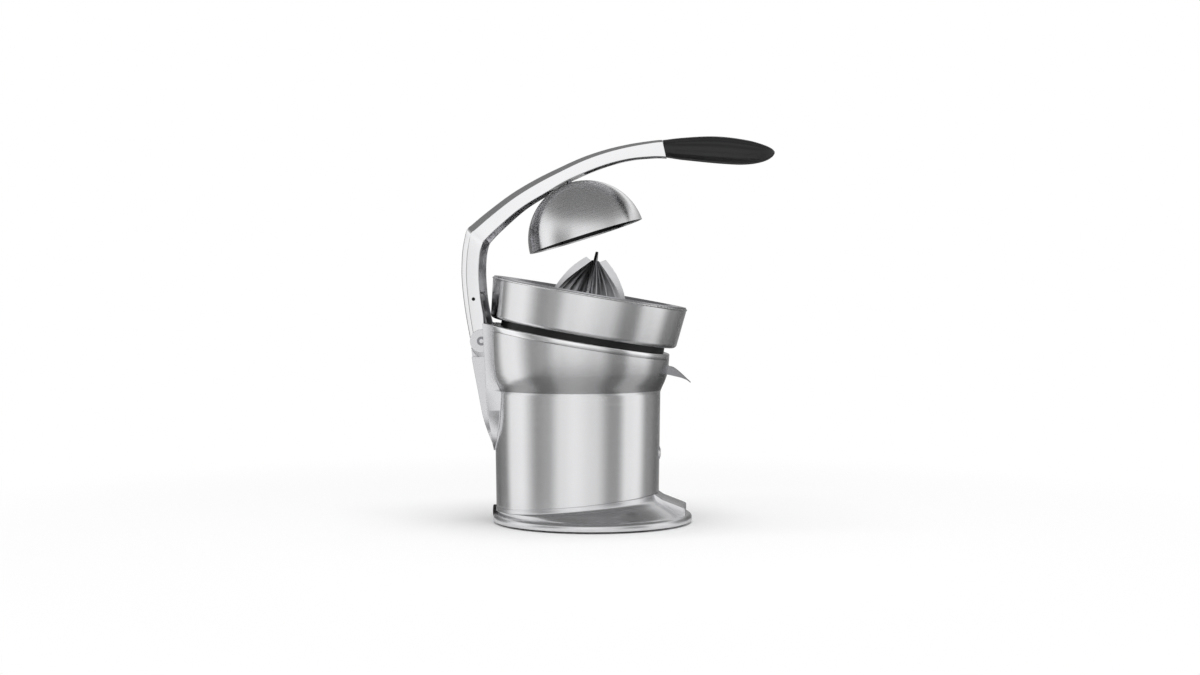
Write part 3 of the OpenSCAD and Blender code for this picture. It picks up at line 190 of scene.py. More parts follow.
# %% [markdown]
# No real surface is even. One fine noise varies the gloss of each finish, tints its colour and, where the
# piece feels rough, raises a slight relief. Three noises would look like dirt on a coat of paint, while a
# real grain changes all three at once.

# %% Gloss, tint and relief from a noise
NOISE_ROUGHNESS = 0.6
NOISE_LOW, NOISE_HIGH = 0.3, 0.7


def vary_gloss(tree, shader, coords, scale, low, high, detail):
    """Runs the roughness from low to high over a noise, and hands the noise back."""
    noise = add(tree, "TexNoise", {"Scale": scale, "Detail": detail, "Roughness": NOISE_ROUGHNESS},
                {"Vector": coords})
    spread = add(tree, "MapRange",
                 {"From Min": NOISE_LOW, "From Max": NOISE_HIGH, "To Min": low, "To Max": high},
                 {"Value": noise.outputs["Fac"]})
    tree.links.new(spread.outputs["Result"], shader.inputs["Roughness"])
    return noise.outputs["Fac"]


def tint_and_raise(tree, shader, shade, dark, light, relief, strength, depth):
    """Tints the surface from dark to light by one pattern, and raises it by another, depth in millimetres."""
    mix = add(tree, "Mix", {"data_type": "RGBA", 6: linear(dark), 7: linear(light)}, {0: shade})
    tree.links.new(mix.outputs[2], shader.inputs["Base Color"])
    if strength:
        raised = add(tree, "Bump", {"Strength": strength, "Distance": depth * MM}, {"Height": relief})
        tree.links.new(raised.outputs["Normal"], shader.inputs["Normal"])


print("the noise is used from", NOISE_LOW, "to", NOISE_HIGH)

# %% [markdown]
# Brushed stainless steel is sheet that a belt has scratched in one direction. Real scratches are about
# 0.1 mm wide. They are drawn 1.3 to the millimetre here, because finer ones would not show. The pattern is
# stretched along them, and the anisotropic shader smears highlights across them, which gives tall bands.

# %% Brushed stainless steel
SCRATCHES_PER_MM = 1.3
SCRATCH_LENGTH = 111.0
PATCH_SIZE = 71.4
PATCH_SHARE = 0.25
STEEL_DETAIL = 2.0
GLOSS_BELOW, GLOSS_ABOVE = 0.03, 0.04
SCRATCH_RELIEF, SCRATCH_DEPTH = 0.015, 0.2
SMEAR, SMEAR_TURN = 0.85, 0.25


def brushed_steel(name, light, dark, roughness, centre=(0, 0, 0), tilt=0.0):
    """Steel brushed round an axis through the centre, which is tilted by an angle about Y."""
    material, tree, shader = new_material(name, light, 1.0, roughness)
    coords = add(tree, "TexCoord").outputs["Object"]
    turned = add(tree, "Mapping",
                 {"vector_type": "TEXTURE", "Rotation": (0, tilt, 0),
                  "Location": (centre[0] * MM, 0, centre[2] * MM)}, {"Vector": coords}).outputs["Vector"]
    round_the_axis = per_metre(SCRATCH_LENGTH)
    stretched = add(tree, "Mapping",
                    {"Scale": (round_the_axis, round_the_axis, SCRATCHES_PER_MM / MM)}, {"Vector": turned})
    lines = vary_gloss(tree, shader, stretched.outputs["Vector"], 1.0, roughness - GLOSS_BELOW,
                       roughness + GLOSS_ABOVE, STEEL_DETAIL)
    patches = add(tree, "TexNoise", {"Scale": per_metre(PATCH_SIZE), "Detail": STEEL_DETAIL},
                  {"Vector": turned})
    faint = add(tree, "Math", {"operation": "MULTIPLY", 1: PATCH_SHARE}, {0: patches.outputs["Fac"]})
    both = add(tree, "Math", {"operation": "MULTIPLY_ADD", 1: 1 - PATCH_SHARE},
               {0: lines, 2: faint.outputs[0]})
    tint_and_raise(tree, shader, both.outputs[0], dark, light, lines, SCRATCH_RELIEF, SCRATCH_DEPTH)
    shader.inputs["Anisotropic"].default_value = SMEAR
    shader.inputs["Anisotropic Rotation"].default_value = SMEAR_TURN
    tangent = add(tree, "Tangent", {"direction_type": "RADIAL", "axis": "Z"})
    tree.links.new(tangent.outputs["Tangent"], shader.inputs["Tangent"])
    return material


# Rolled sheet: tall soft bands of light and dark, with faint level lines
STEEL_BODY = brushed_steel("brushed_stainless_sheet", "EDEDEE", "E0E0E2", 0.22)
# Spun bowl: the same lines, but they run round its own tilted axis
STEEL_BOWL = brushed_steel("brushed_stainless_bowl", "EDEDEE", "E0E0E2", 0.21, (DECK_X, 0, DECK_Z), DECK_TURN)
# Spun cup: brighter and more blurred, with lines round the axis of the cup
CUP_CENTRE = (9.8, 0, 328.3)
CUP_TURN = math.radians(-17.4)
STEEL_CUP = brushed_steel("spun_stainless_cup", "F4F4F5", "E6E6E8", 0.26, CUP_CENTRE, CUP_TURN)
print("steel finishes:", STEEL_BODY.name, STEEL_BOWL.name, STEEL_CUP.name)

# %% [markdown]
# The arm, the ring, the cheeks and the base are zinc castings. How a casting is finished decides what the eye
# sees: a wheel makes it almost a mirror, beads make it satin, and a tub of stones leaves an even soft sheen.
# One function serves all of them, and the other metals too, because only their numbers differ.

# %% Castings and other metals
METAL_SPREAD, METAL_DETAIL, METAL_DEPTH = 0.05, 3.0, 0.3


def grained(name, metallic, light, dark, roughness, grain, spread, detail, relief, depth, coat=0.0):
    """A surface whose gloss, colour and relief follow one noise with a grain of so many millimetres."""
    material, tree, shader = new_material(name, light, metallic, roughness)
    coords = add(tree, "TexCoord").outputs["Object"]
    noise = vary_gloss(tree, shader, coords, per_metre(grain), roughness - spread, roughness + spread, detail)
    tint_and_raise(tree, shader, noise, dark, light, noise, relief, depth)
    shader.inputs["Coat Weight"].default_value = coat
    return material


def metal(name, light, dark, roughness, grain, spread=METAL_SPREAD, relief=0.0):
    return grained(name, 1.0, light, dark, roughness, grain, spread, METAL_DETAIL, relief, METAL_DEPTH)


# Zinc polished on a wheel: almost a mirror, with faint clouds from the compound
CAST_POLISHED = metal("polished_zinc_casting", "FAFAFB", "EFEFF1", 0.13, 25.0)
# Zinc blasted with fine beads: greyer, with wide and soft highlights
CAST_SATIN = metal("satin_zinc_casting", "E6E6E8", "D4D4D7", 0.26, 16.67, 0.06)
# Zinc rubbed by stones in a tub: an even, pale sheen without clouds
CAST_BRUSHED = metal("vibro_finished_zinc_casting", "E4E4E6", "DEDEE0", 0.25, 6.25, 0.015)
# A darker satin casting: mid grey beside the bright body
SPOUT_METAL = metal("satin_spout_casting", "ACACAF", "949498", 0.3, 12.5)
# Thin polished blades: pale, and a little blurred
FIN_STEEL = metal("polished_fin_steel", "E6E6E8", "DADADD", 0.3, 25.0)
# Plastic under a thin coat of metal: a blurred mirror, dark where its flutes mirror the flags
CONE_METAL = metal("metallised_cone", "C2C2C5", "AEAEB2", 0.33, 5.0)
# Sheet with fine holes: bright, and softer than the body
FILTER_STEEL = metal("perforated_stainless", "C4C4C7", "ABABAF", 0.28, 11.11)
# Steel from a black oxide bath: dark, with a dull gleam
PIN_BLACK = metal("black_oxide_pin", "2A2A2C", "1E1E20", 0.4, 5.0)
# Oiled spring wire: dark grey, with a thin line of light along it
SPRING_STEEL = metal("black_oxide_spring_wire", "4A4A4E", "38383B", 0.4, 5.0)
# Plated screws and axles: mid grey, with a slight shine
HARDWARE = metal("zinc_plated_steel", "9E9EA2", "86868A", 0.32, 8.333)
# A drawn can: a dull and even grey
MOTOR_STEEL = metal("motor_can_steel", "85878B", "6F7176", 0.4, 16.67)
# A casting left as it came from the mould: dark grey, matt and grainy
GEARBOX_ALLOY = metal("raw_aluminium_casting", "707276", "5C5E62", 0.5, 3.333, 0.08, 0.3)
# Varnished winding wire: red-brown, with a slight gloss
COPPER = metal("enamelled_copper_wire", "A8623C", "7E4526", 0.35, 2.5)
# A pressed and sintered bush: yellow-brown, with small pits
BRONZE = metal("sintered_bronze", "B0884E", "93703E", 0.45, 1.4286, 0.08, 0.2)
print("cast finishes:", CAST_POLISHED.name, CAST_SATIN.name, CAST_BRUSHED.name)

# %% [markdown]
# Moulded pieces take the texture of their mould. The rubber of the grip is matt, with a fine sparkle of grain
# about two thirds of a millimetre across. Plastic is smoother and a little shinier, and its grain is
# shallower. Paint and a glossy button have a clear coat on top, which gives them a second, sharper highlight.

# %% Rubber, plastic and paint
MOULD_SPREAD, MOULD_DETAIL, MOULD_DEPTH = 0.06, 4.0, 0.2


def moulded(name, light, dark, roughness, grain, relief, coat=0.0):
    return grained(name, 0.0, light, dark, roughness, grain, MOULD_SPREAD, MOULD_DETAIL, relief, MOULD_DEPTH,
                   coat)


# Moulded rubber of the grip: matt black, with a fine sparkle
RUBBER_GRIP = moulded("moulded_rubber_grip", "242426", "131314", 0.46, 0.6667, 0.25)
# Plain rubber of foot, stop, seal and grommet: black and quite dull
RUBBER_PLAIN = moulded("moulded_rubber", "1B1B1C", "101011", 0.6, 1.111, 0.25)
# Black ABS: deeper black than rubber, and a little smoother
ABS_DARK = moulded("black_abs", "121213", "0A0A0B", 0.5, 0.8333, 0.1)
# Dark grey ABS: as smooth, and a shade paler
ABS_DUCT = moulded("grey_abs", "2C2C2F", "222224", 0.45, 1.111, 0.1)
# Glossy white ABS: an even white with a sharp highlight
BUTTON_WHITE = moulded("glossy_white_abs", "EDEDED", "E2E2E2", 0.2, 3.333, 0.03, 0.4)
# Baked enamel over steel: white, with the faint ripple of spray paint
BRACKET_PAINT = moulded("white_baked_enamel", "EFEFEF", "E0E0E0", 0.3, 4.0, 0.05, 0.3)
# Undyed nylon: cream and waxy
GEAR_NYLON = moulded("natural_nylon", "DED8C4", "CEC7B0", 0.4, 2.5, 0.05)
# Solder mask on a circuit board: a thin green lacquer
BOARD_GREEN = moulded("green_solder_mask", "1F6B3C", "18552F", 0.3, 5.0, 0.03)
print("moulded finishes:", RUBBER_GRIP.name, ABS_DARK.name, BUTTON_WHITE.name)

# %% [markdown]
# A CAD node whose shape is right stays, and only its material is changed, so it still agrees with the part
# that moves in the simulation. The table goes from finish to nodes, because one finish serves many of them.
# The nodes that a finer skin replaces further down aren't in it.

# %% Give each carried-over CAD node its finish
FINISHES = {
    CAST_SATIN: ["rear_spine"],
    STEEL_BOWL: ["bowl"],
    STEEL_CUP: ["press_dome"],
    FILTER_STEEL: ["filter_basket"],
    FIN_STEEL: ["cone_fins", "button_bezel"],
    SPOUT_METAL: ["spout"],
    HARDWARE: ["base_screws", "spine_screws", "gearbox_screws", "motor_screws", "idler_pin", "drive_shaft",
               "hinge_axle", "axle_caps", "dome_screw", "spout_pin", "rocker_link", "grip_tang"],
    SPRING_STEEL: ["return_springs"],
    MOTOR_STEEL: ["motor_can"],
    GEARBOX_ALLOY: ["gearbox_frame"],
    COPPER: ["motor_rotor"],
    BRONZE: ["shaft_bush"],
    GEAR_NYLON: ["idler_gear", "output_gear"],
    BOARD_GREEN: ["circuit_board"],
    ABS_DARK: ["seat_ring", "dome_liner", "arm_switch", "power_switch", "board_posts", "base_plate"],
    ABS_DUCT: ["juice_duct"],
    RUBBER_PLAIN: ["rubber_foot", "bump_stop", "shaft_seal"],
    BUTTON_WHITE: ["power_button"],
    BRACKET_PAINT: ["dome_bracket"],
}
for finish, names in FINISHES.items():
    for name in names:
        NODES[name].data.materials.clear()
        NODES[name].data.materials.append(finish)
print("nodes with a finish:", sum(len(names) for names in FINISHES.values()))

# %% [markdown]
# New skins are made by joining rings of points. Each ring is one closed section, bridge_loops lays a skin
# from one ring to the next, and holes_fill closes the ends. A subdivision surface could be smoother still,
# but its sections wouldn't keep their sizes. Round pieces are spun from half of their outline instead.

# %% Helpers that make a skin and hand it to its body
WELD = 1e-6


def object_from(bm, name, material):
    mesh = bpy.data.meshes.new(name)
    bm.to_mesh(mesh)
    bm.free()
    mesh.materials.append(material)
    piece = bpy.data.objects.new(name, mesh)
    bpy.context.scene.collection.objects.link(piece)
    print(name, len(mesh.polygons), "faces")
    return piece


def finish_piece(bm, name, material, body, replaced, sharp):
    """Hands a skin to its body. Edges that bend by more than sharp degrees stay sharp."""
    bmesh.ops.recalc_face_normals(bm, faces=bm.faces)
    piece = object_from(bm, name, material)
    for face in piece.data.polygons:
        face.use_smooth = True
    piece.data.set_sharp_from_angle(angle=math.radians(sharp))
    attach(piece, body)
    if replaced:
        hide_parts(*replaced)


def ring(bm, points):
    verts = [bm.verts.new(Vector(p) * MM) for p in points]
    return [bm.edges.new(pair) for pair in zip(verts, verts[1:] + verts[:1])]


def skin_over(sections, close=True):
    """Lays one skin over rings of points, and closes its two ends."""
    bm = bmesh.new()
    rings = [ring(bm, section) for section in sections]
    for low, high in zip(rings, rings[1:]):
        bmesh.ops.bridge_loops(bm, edges=low + high)
    if close:
        for edges in (rings[0], rings[-1]):
            bmesh.ops.holes_fill(bm, edges=edges, sides=len(edges))
    return bm


def spun(profile, steps):
    """Spins an open profile of (radius, height) points about Z."""
    bm = bmesh.new()
    verts = [bm.verts.new((r * MM, 0, z * MM)) for r, z in profile]
    edges = [bm.edges.new(pair) for pair in zip(verts, verts[1:])]
    bmesh.ops.spin(bm, geom=verts + edges, cent=(0, 0, 0), axis=(0, 0, 1), angle=math.tau, steps=steps,
                   use_merge=True)
    bmesh.ops.remove_doubles(bm, verts=bm.verts, dist=WELD)
    return bm


def round_edges(bm, edges, size, segments):
    bmesh.ops.bevel(bm, geom=edges, offset=size * MM, segments=segments, profile=0.5, affect="EDGES",
                    material=-1)


print("points closer than", WELD / MM, "mm are merged")

# %% [markdown]
# The flared sheet ends at a slanted plane under the deck. The place where an upright line of the sheet meets
# that plane can't be solved in one go, because the radius changes with the height. So a few passes walk
# towards it, and each one starts from the radius that the last one found.

# %% Meeting the slanted planes
DECK_PASSES = 8


def deck_matrix(h):
    """The place and tilt of a level at a height over the deck."""
    return (Matrix.Translation((DECK_X * MM, 0, DECK_Z * MM)) @ Matrix.Rotation(DECK_TURN, 4, "Y")
            @ Matrix.Translation((0, 0, h * MM)))


def deck_point(angle, h, inset):
    """The point of the flared body at a height over the deck."""
    r = BODY_R
    for _ in range(DECK_PASSES):
        z = DECK_Z - (r * math.cos(angle) - DECK_X) * math.tan(DECK_TURN) + h / math.cos(DECK_TURN)
        r = body_r_at(z)
    return ((r - inset) * math.cos(angle), (r - inset) * math.sin(angle), z)


def seam_height(angle):
    return SEAM_Z + BODY_R * math.cos(angle) * math.tan(math.radians(SEAM_TILT))


print("seam from", round(seam_height(math.pi), 1), "to", round(seam_height(0), 1), "mm up")

# %% [markdown]
# The body is one sheet of steel, rolled and flared. Upright lines of points run from the slanted seam at the
# base up to the deck, and the slot for the arm's foot is cut out at the back with three planes. A boolean
# needs closed solids, and the sheet is still open there. Last, solidify gives it its thickness.

# %% Body skin
BODY_SIDES = 192
SHEET = 1.2
BODY_ROWS = 8
FLARE_ROWS = 44
FLARE_START = FLARE_Z - 2.0
SLOT_PLANES = [((0, POCKET_HALF * MM, 0), (0, 1, 0)), ((0, -POCKET_HALF * MM, 0), (0, 1, 0)),
               ((0, 0, POCKET_Z * MM), (0, 0, 1))]


def body_line(angle):
    """Points up one line of the body: a few over the straight part, many over the flare."""
    top = deck_point(angle, 0.0, 0.0)[2]
    low = seam_height(angle)
    heights = [low + (FLARE_START - low) * k / BODY_ROWS for k in range(BODY_ROWS)]
    heights += [FLARE_START + (top - FLARE_START) * k / FLARE_ROWS for k in range(FLARE_ROWS + 1)]
    return [(body_r_at(z) * math.cos(angle), body_r_at(z) * math.sin(angle), z) for z in heights]


def in_slot(face):
    middle = face.calc_center_median()
    return middle.x < 0 and abs(middle.y) < POCKET_HALF * MM and middle.z > POCKET_Z * MM


lines = [body_line(k * math.tau / BODY_SIDES) for k in range(BODY_SIDES)]
bm = skin_over([list(level) for level in zip(*lines)], close=False)
for point, normal in SLOT_PLANES:
    behind = [f for f in bm.faces if f.calc_center_median().x < 0]
    around = dict.fromkeys(part for f in behind for part in [*f.verts, *f.edges])
    bmesh.ops.bisect_plane(bm, geom=[*around, *behind], plane_co=point, plane_no=normal)
bmesh.ops.delete(bm, geom=[f for f in bm.faces if in_slot(f)], context="FACES")
bmesh.ops.recalc_face_normals(bm, faces=bm.faces)
bmesh.ops.solidify(bm, geom=bm.faces[:], thickness=SHEET * MM)
finish_piece(bm, "body_skin", STEEL_BODY, "housing", ["body_shell"], 35.0)

# %% [markdown]
# The bright ring under the bowl is the edge of the deck casting. It could be a plain tilted disc, but the
# real one follows the flare, so each of its levels is made from points of the body. The upper levels draw in
# step by step. That rounds the edge, which gives the thin white line all round.

# %% Deck ring skin
RING_HALF_STEPS = 80
POCKET_X = -82.4
# Heights over the deck, and how far the ring is inset there
RING_ROWS = [
    (0.15, 0.5), (0.25, 0.2), (0.6, 0.0), (RING_H - 1.4, 0.0), (RING_H - 0.7, 0.2), (RING_H - 0.25, 0.7),
    (RING_H, 1.5)]
half = math.pi - math.asin(POCKET_HALF / (BODY_R + FLARE_OUT))
angles = [half * (k / RING_HALF_STEPS - 1) for k in range(2 * RING_HALF_STEPS + 1)]
sections = []
for h, inset in RING_ROWS:
    back_z = DECK_Z - (POCKET_X - DECK_X) * math.tan(DECK_TURN) + h
    corners = [(POCKET_X, side * POCKET_HALF, back_z) for side in (1, -1)]
    sections.append([deck_point(angle, h, inset) for angle in angles] + corners)
bm = skin_over(sections)
finish_piece(bm, "deck_ring_skin", CAST_POLISHED, "housing", ["deck_ring"], 35.0)

# %% [markdown]
# The base is a shallow casting: an upright rim, a rounded shoulder, then a skirt that sweeps up to the foot
# of the body. A spun shape won't do, because the body stands behind the middle of the base and its seam is
# tilted. So the sections are circles whose middles wander back, and which tilt more and more.

# %% Base skin
RIM_CHAMFER = 0.8
CIRCLE_POINTS = 128
SHOULDER_STEPS = 6
SKIRT_STEPS = 4
SEAM_R = body_r_at(SEAM_Z) + 0.9
# The middle's x and z, the radius and the tilt of each circle
RIM_ROWS = [(BASE_AHEAD, RIM_LOW, BASE_R - RIM_CHAMFER, 0), (BASE_AHEAD, RIM_LOW + RIM_CHAMFER, BASE_R, 0)]
SKIRT_ROWS = [
    (BASE_AHEAD, RIM_TOP, BASE_R - RIM_ROUND - 1.5, 0),
    (14.5, RIM_TOP + 1.6, BASE_R - 8.0, 0.2),
    (7.4, RIM_TOP + 6.6, BASE_R - 13.2, 1.7),
    (1.6, SEAM_Z - 6.5, SEAM_R + 1.6, 3.9),
    (0.0, SEAM_Z - 2.6, SEAM_R + 0.1, SEAM_TILT),
    (0.0, SEAM_Z - 0.3, SEAM_R, SEAM_TILT)]
SEAM_ROW = (0.0, SEAM_Z - 0.1, SEAM_R - 0.5, SEAM_TILT)


def tilted_circle(x, z, r, tilt):
    turn = Matrix.Rotation(math.radians(-tilt), 3, "Y")
    points = []
    for k in range(CIRCLE_POINTS):
        a = k * math.tau / CIRCLE_POINTS
        points.append(Vector((x, 0, z)) + turn @ Vector((r * math.cos(a), r * math.sin(a), 0)))
    return points


shoulder = []
for k in range(SHOULDER_STEPS + 1):
    a = k * math.pi / (2 * SHOULDER_STEPS)
    z = RIM_TOP - RIM_ROUND * (1 - math.sin(a))
    shoulder.append((BASE_AHEAD, z, BASE_R - RIM_ROUND * (1 - math.cos(a)), 0))
rows = RIM_ROWS + shoulder + smooth_rows(SKIRT_ROWS, SKIRT_STEPS) + [SEAM_ROW]
bm = skin_over([tilted_circle(*row) for row in rows])
finish_piece(bm, "base_skin", CAST_BRUSHED, "housing", ["base_casting"], 60.0)

# %% [markdown]
# A raised tongue on the front of the base steadies a glass under the spout. It is the same all the way
# across, so its outline is drawn once for each side and joined, and a bevel rounds every edge. Its back end
# is hidden in the skirt.

# %% Front tongue of the base
PAD_HALF = 29.0
PAD_EDGE = 1.0
PAD_BACK = 86.0
PAD_LOW = 6.5
BASE_FRONT = BASE_AHEAD + BASE_R
PAD_OUTLINE = [(PAD_BACK, PAD_LOW), (BASE_FRONT - 7, PAD_LOW), (BASE_FRONT - 7, RIM_TOP + 8),
               (BASE_FRONT - 11, RIM_TOP + 10), (98.4, SEAM_Z + 2.5), (PAD_BACK, SEAM_Z + 11)]
bm = skin_over([[(x, y, z) for x, z in PAD_OUTLINE] for y in (-PAD_HALF, PAD_HALF)])
bmesh.ops.recalc_face_normals(bm, faces=bm.faces)
round_edges(bm, bm.edges[:], PAD_EDGE, 3)
finish_piece(bm, "base_pad", CAST_BRUSHED, "housing", [], 35.0)

# %% [markdown]
# A mains cord would leave through a rubber grommet low on the back. It is a small spun ring that sits almost
# flush. Its middle and radius are read from the CAD node, so it can't miss its hole.

# %% Grommet
GROMMET_X = -97.6
# Shares of its radius, and depths from its outer face
GROMMET_ROWS = [(0.45, -6.0), (0.95, -6.0), (1.0, -0.6), (0.9, 0.0), (0.6, 0.0), (0.45, -0.8), (0.45, -6.0)]
low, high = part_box("cord_inlet")
middle = (low + high) / 2
r = (high.z - low.z) / 2 / MM
bm = spun([(r * share, depth) for share, depth in GROMMET_ROWS], 48)
place = Matrix.Translation((GROMMET_X * MM, middle.y, middle.z))
bmesh.ops.transform(bm, matrix=place @ Matrix.Rotation(math.radians(-90), 4, "Y"), verts=bm.verts)
finish_piece(bm, "cord_grommet", RUBBER_PLAIN, "housing", ["cord_inlet"], 35.0)

# %% [markdown]
# Two leaf-shaped cheeks stand beside the arm's foot, cast with the ring. Each is a stack of small sections
# that grow out of the body from a point near its waist. A bisect then trims the stack to the tilted plane of
# the ring, which is simpler than slanting every section.

# %% Cheek skins
SIDES = ((1, "left"), (-1, "right"))
CHEEK_Z = 83.0
CHEEK_H = 156.0
CHEEK_OUT = 56.0
CHEEK_IN = 37.0
CHEEK_EDGE = 2.5
CHEEK_TUCK = 12.0
CHEEK_UNDER_RING = 0.4
# Shares: of the height, of the body's radius at the back, of the inner and of the outer half width
CHEEK_SHARES = [
    (0.00, 1.003, 0.30, 0.30), (0.03, 1.003, 0.50, 0.45), (0.08, 1.005, 0.72, 0.60),
    (0.15, 1.012, 0.90, 0.72), (0.24, 1.035, 1.00, 0.80), (0.35, 1.056, 1.00, 0.86),
    (0.50, 1.069, 1.00, 0.93), (0.65, 1.077, 1.00, 0.98), (0.80, 1.095, 1.00, 1.00),
    (1.00, 1.108, 1.00, 1.00)]
CHEEK_ROWS = smooth_rows(CHEEK_SHARES, 12)
# Steps from a corner that round it: the corner against the body, and the one at the back
BODY_CORNER = [(1.0, -0.4), (-1.4, -1.0), (-2.4, -2.2)]
BACK_CORNER = [(1.2, 0.0), (0.3, -0.6), (0.0, -1.4)]


def cheek_section(row, side):
    z = CHEEK_Z + CHEEK_H * row[0]
    back = -BODY_R * row[1]
    inner = CHEEK_IN * row[2]
    outer = CHEEK_OUT * row[3]
    front = -math.sqrt(body_r_at(z) ** 2 - outer * outer)
    points = [(back, inner), (front + CHEEK_TUCK, inner)]
    points += [(front + x, outer + y) for x, y in BODY_CORNER]
    points += [(back + x, inner + CHEEK_EDGE + y) for x, y in BACK_CORNER]
    return [(x, y * side, z) for x, y in points]


def trim_to_ring(bm):
    """Cuts away what stands over the ring, and closes the cut."""
    level = deck_matrix(RING_H - CHEEK_UNDER_RING)
    geometry = bm.verts[:] + bm.edges[:] + bm.faces[:]
    made = bmesh.ops.bisect_plane(bm, geom=geometry, plane_co=level.to_translation(),
                                  plane_no=level.to_3x3() @ Vector((0, 0, 1)), clear_outer=True)
    rim = [e for e in made["geom_cut"] if isinstance(e, bmesh.types.BMEdge)]
    bmesh.ops.holes_fill(bm, edges=rim, sides=len(rim))


for side, label in SIDES:
    bm = skin_over([cheek_section(row, side) for row in CHEEK_ROWS])
    trim_to_ring(bm)
    replaced = ["fairing_cheeks"] if side == 1 else []
    finish_piece(bm, "cheek_" + label, CAST_SATIN, "housing", replaced, 30.0)

# %% [markdown]
# A smooth panel dresses each side of the spine, between the cheek and the spine's back edge. It follows the
# tables of both, so it can't stand away from either. It ends just under the round foot of the arm, which
# swings out backwards when the lever comes down.

# %% Spine panels
SPINE_Z = 86.0
SPINE_H = 113.0
SPINE_OUT = 24.5
PANEL_THICK = 0.45
PANEL_GAP = 0.85
PANEL_TOP = 191.0
PANEL_TUCK = 3.0
PANEL_CHAMFER = 0.3
PANEL_LEVELS = 30
# Shares of the spine's height, and of how far its back stands out
SPINE_SHARES = [(0, 0), (0.10, 0.13), (0.20, 0.27), (0.36, 0.47), (0.60, 0.68), (0.85, 0.90), (1, 1)]
SPINE_ROWS = smooth_rows(SPINE_SHARES, 8)


def panel_section(z, side):
    """One level of the panel: a thin box from the spine's back edge to behind the cheek."""
    share = (z - CHEEK_Z) / CHEEK_H
    inner = CHEEK_IN * between(CHEEK_ROWS, share, 2) - PANEL_GAP
    front = -BODY_R * between(CHEEK_ROWS, share, 1) + PANEL_TUCK
    back = -body_r_at(SPINE_Z) - SPINE_OUT * between(SPINE_ROWS, (z - SPINE_Z) / SPINE_H, 1)
    points = [(back, inner), (front, inner), (front, inner + PANEL_THICK),
              (back + PANEL_CHAMFER, inner + PANEL_THICK)]
    return [(x, y * side, z) for x, y in points]


levels = [SPINE_Z + (PANEL_TOP - SPINE_Z) * k / PANEL_LEVELS for k in range(1, PANEL_LEVELS + 1)]
for side, label in SIDES:
    bm = skin_over([panel_section(z, side) for z in levels])
    finish_piece(bm, "spine_panel_" + label, CAST_SATIN, "housing", [], 30.0)

# %% [markdown]
# The arm is a channel casting: a web along its back, two walls, and a bevel between them that is wide at the
# elbow and thin at the grip. One U-shaped section is written once, in distances from its own corners, and a
# table says where it stands and how large it is. So the bevel stays clean round the elbow, where a bevel
# modifier would break up.

# %% Sizes and sections of the arm
HINGE_X = -106.8
HINGE_Z = 209.0
ARM_REACH = 204.4
ARM_RISE = 228.7
ARM_HALF = 36.0
ARM_WALL = 3.0
ARM_BEVEL = 8.0
BACK_ROUND = 4.5
ROUND_SHARE = 0.9
CORNER_SHARE = 0.414
# Shares of reach and rise for the outer line, then for the inner line, of the half width, and of the bevel
ARM_SHARES = [
    (-0.0577, -0.036, 0.0140, -0.0130, 1.00, 0.70), (-0.0861, 0.100, 0.0140, 0.1010, 1.00, 0.75),
    (-0.1037, 0.202, -0.0050, 0.2100, 1.00, 0.80), (-0.1145, 0.303, -0.0140, 0.3060, 1.00, 0.82),
    (-0.1160, 0.373, -0.0147, 0.3720, 0.99, 0.86), (-0.1106, 0.454, -0.0088, 0.4370, 0.98, 0.90),
    (-0.0960, 0.528, 0.0000, 0.4700, 0.96, 0.96), (-0.0840, 0.560, 0.0080, 0.4880, 0.94, 1.00),
    (-0.0560, 0.582, 0.0260, 0.5080, 0.93, 1.00), (0.0245, 0.642, 0.0910, 0.5645, 0.88, 0.94),
    (0.1575, 0.731, 0.2190, 0.6616, 0.81, 0.84), (0.2900, 0.802, 0.3460, 0.7320, 0.74, 0.75),
    (0.4227, 0.861, 0.4660, 0.7950, 0.67, 0.66), (0.5558, 0.914, 0.5860, 0.8430, 0.61, 0.57),
    (0.6884, 0.953, 0.7084, 0.8815, 0.56, 0.49), (0.8214, 0.980, 0.8307, 0.9060, 0.51, 0.42),
    (0.9540, 0.997, 0.9530, 0.9156, 0.475, 0.35), (1.0000, 1.000, 1.0215, 0.9143, 0.46, 0.32)]
# Steps that round the crease between wall and bevel, and the wall's open edge on its outer and inner side
CREASE = [(-0.5, 0.0), (0.0, 0.08), (0.5, 0.3)]
EDGE_OUTER = [(0.0, 1.0), (0.1, 0.4)]
EDGE_INNER = [(0.5, 0.0), (0.1, 0.3)]
EDGE_START = 0.6
# Shares of the wall by which the two inner corners stand off the bevel
INNER_BACK_SHARE, INNER_SIDE_SHARE = 0.5, 0.4


def arm_outline(depth, w, b):
    """Half of a section: points (depth, half width) on its outside, and on its inside."""
    r = min(BACK_ROUND, b * ROUND_SHARE)
    outside = [(EDGE_START, w)] + [(depth - b + d, w - y) for d, y in CREASE]
    for angle in (45, 36, 27, 18, 9, 0):
        a = math.radians(angle)
        outside.append((depth - r + r * math.cos(a), w - b - r * CORNER_SHARE + r * math.sin(a)))
    inside = [(depth - ARM_WALL, w - b - ARM_WALL * INNER_BACK_SHARE),
              (depth - b - ARM_WALL * INNER_SIDE_SHARE, w - ARM_WALL)]
    inside += [(d, w - ARM_WALL + y) for d, y in EDGE_INNER] + [(d, w - y) for d, y in EDGE_OUTER]
    return outside, inside


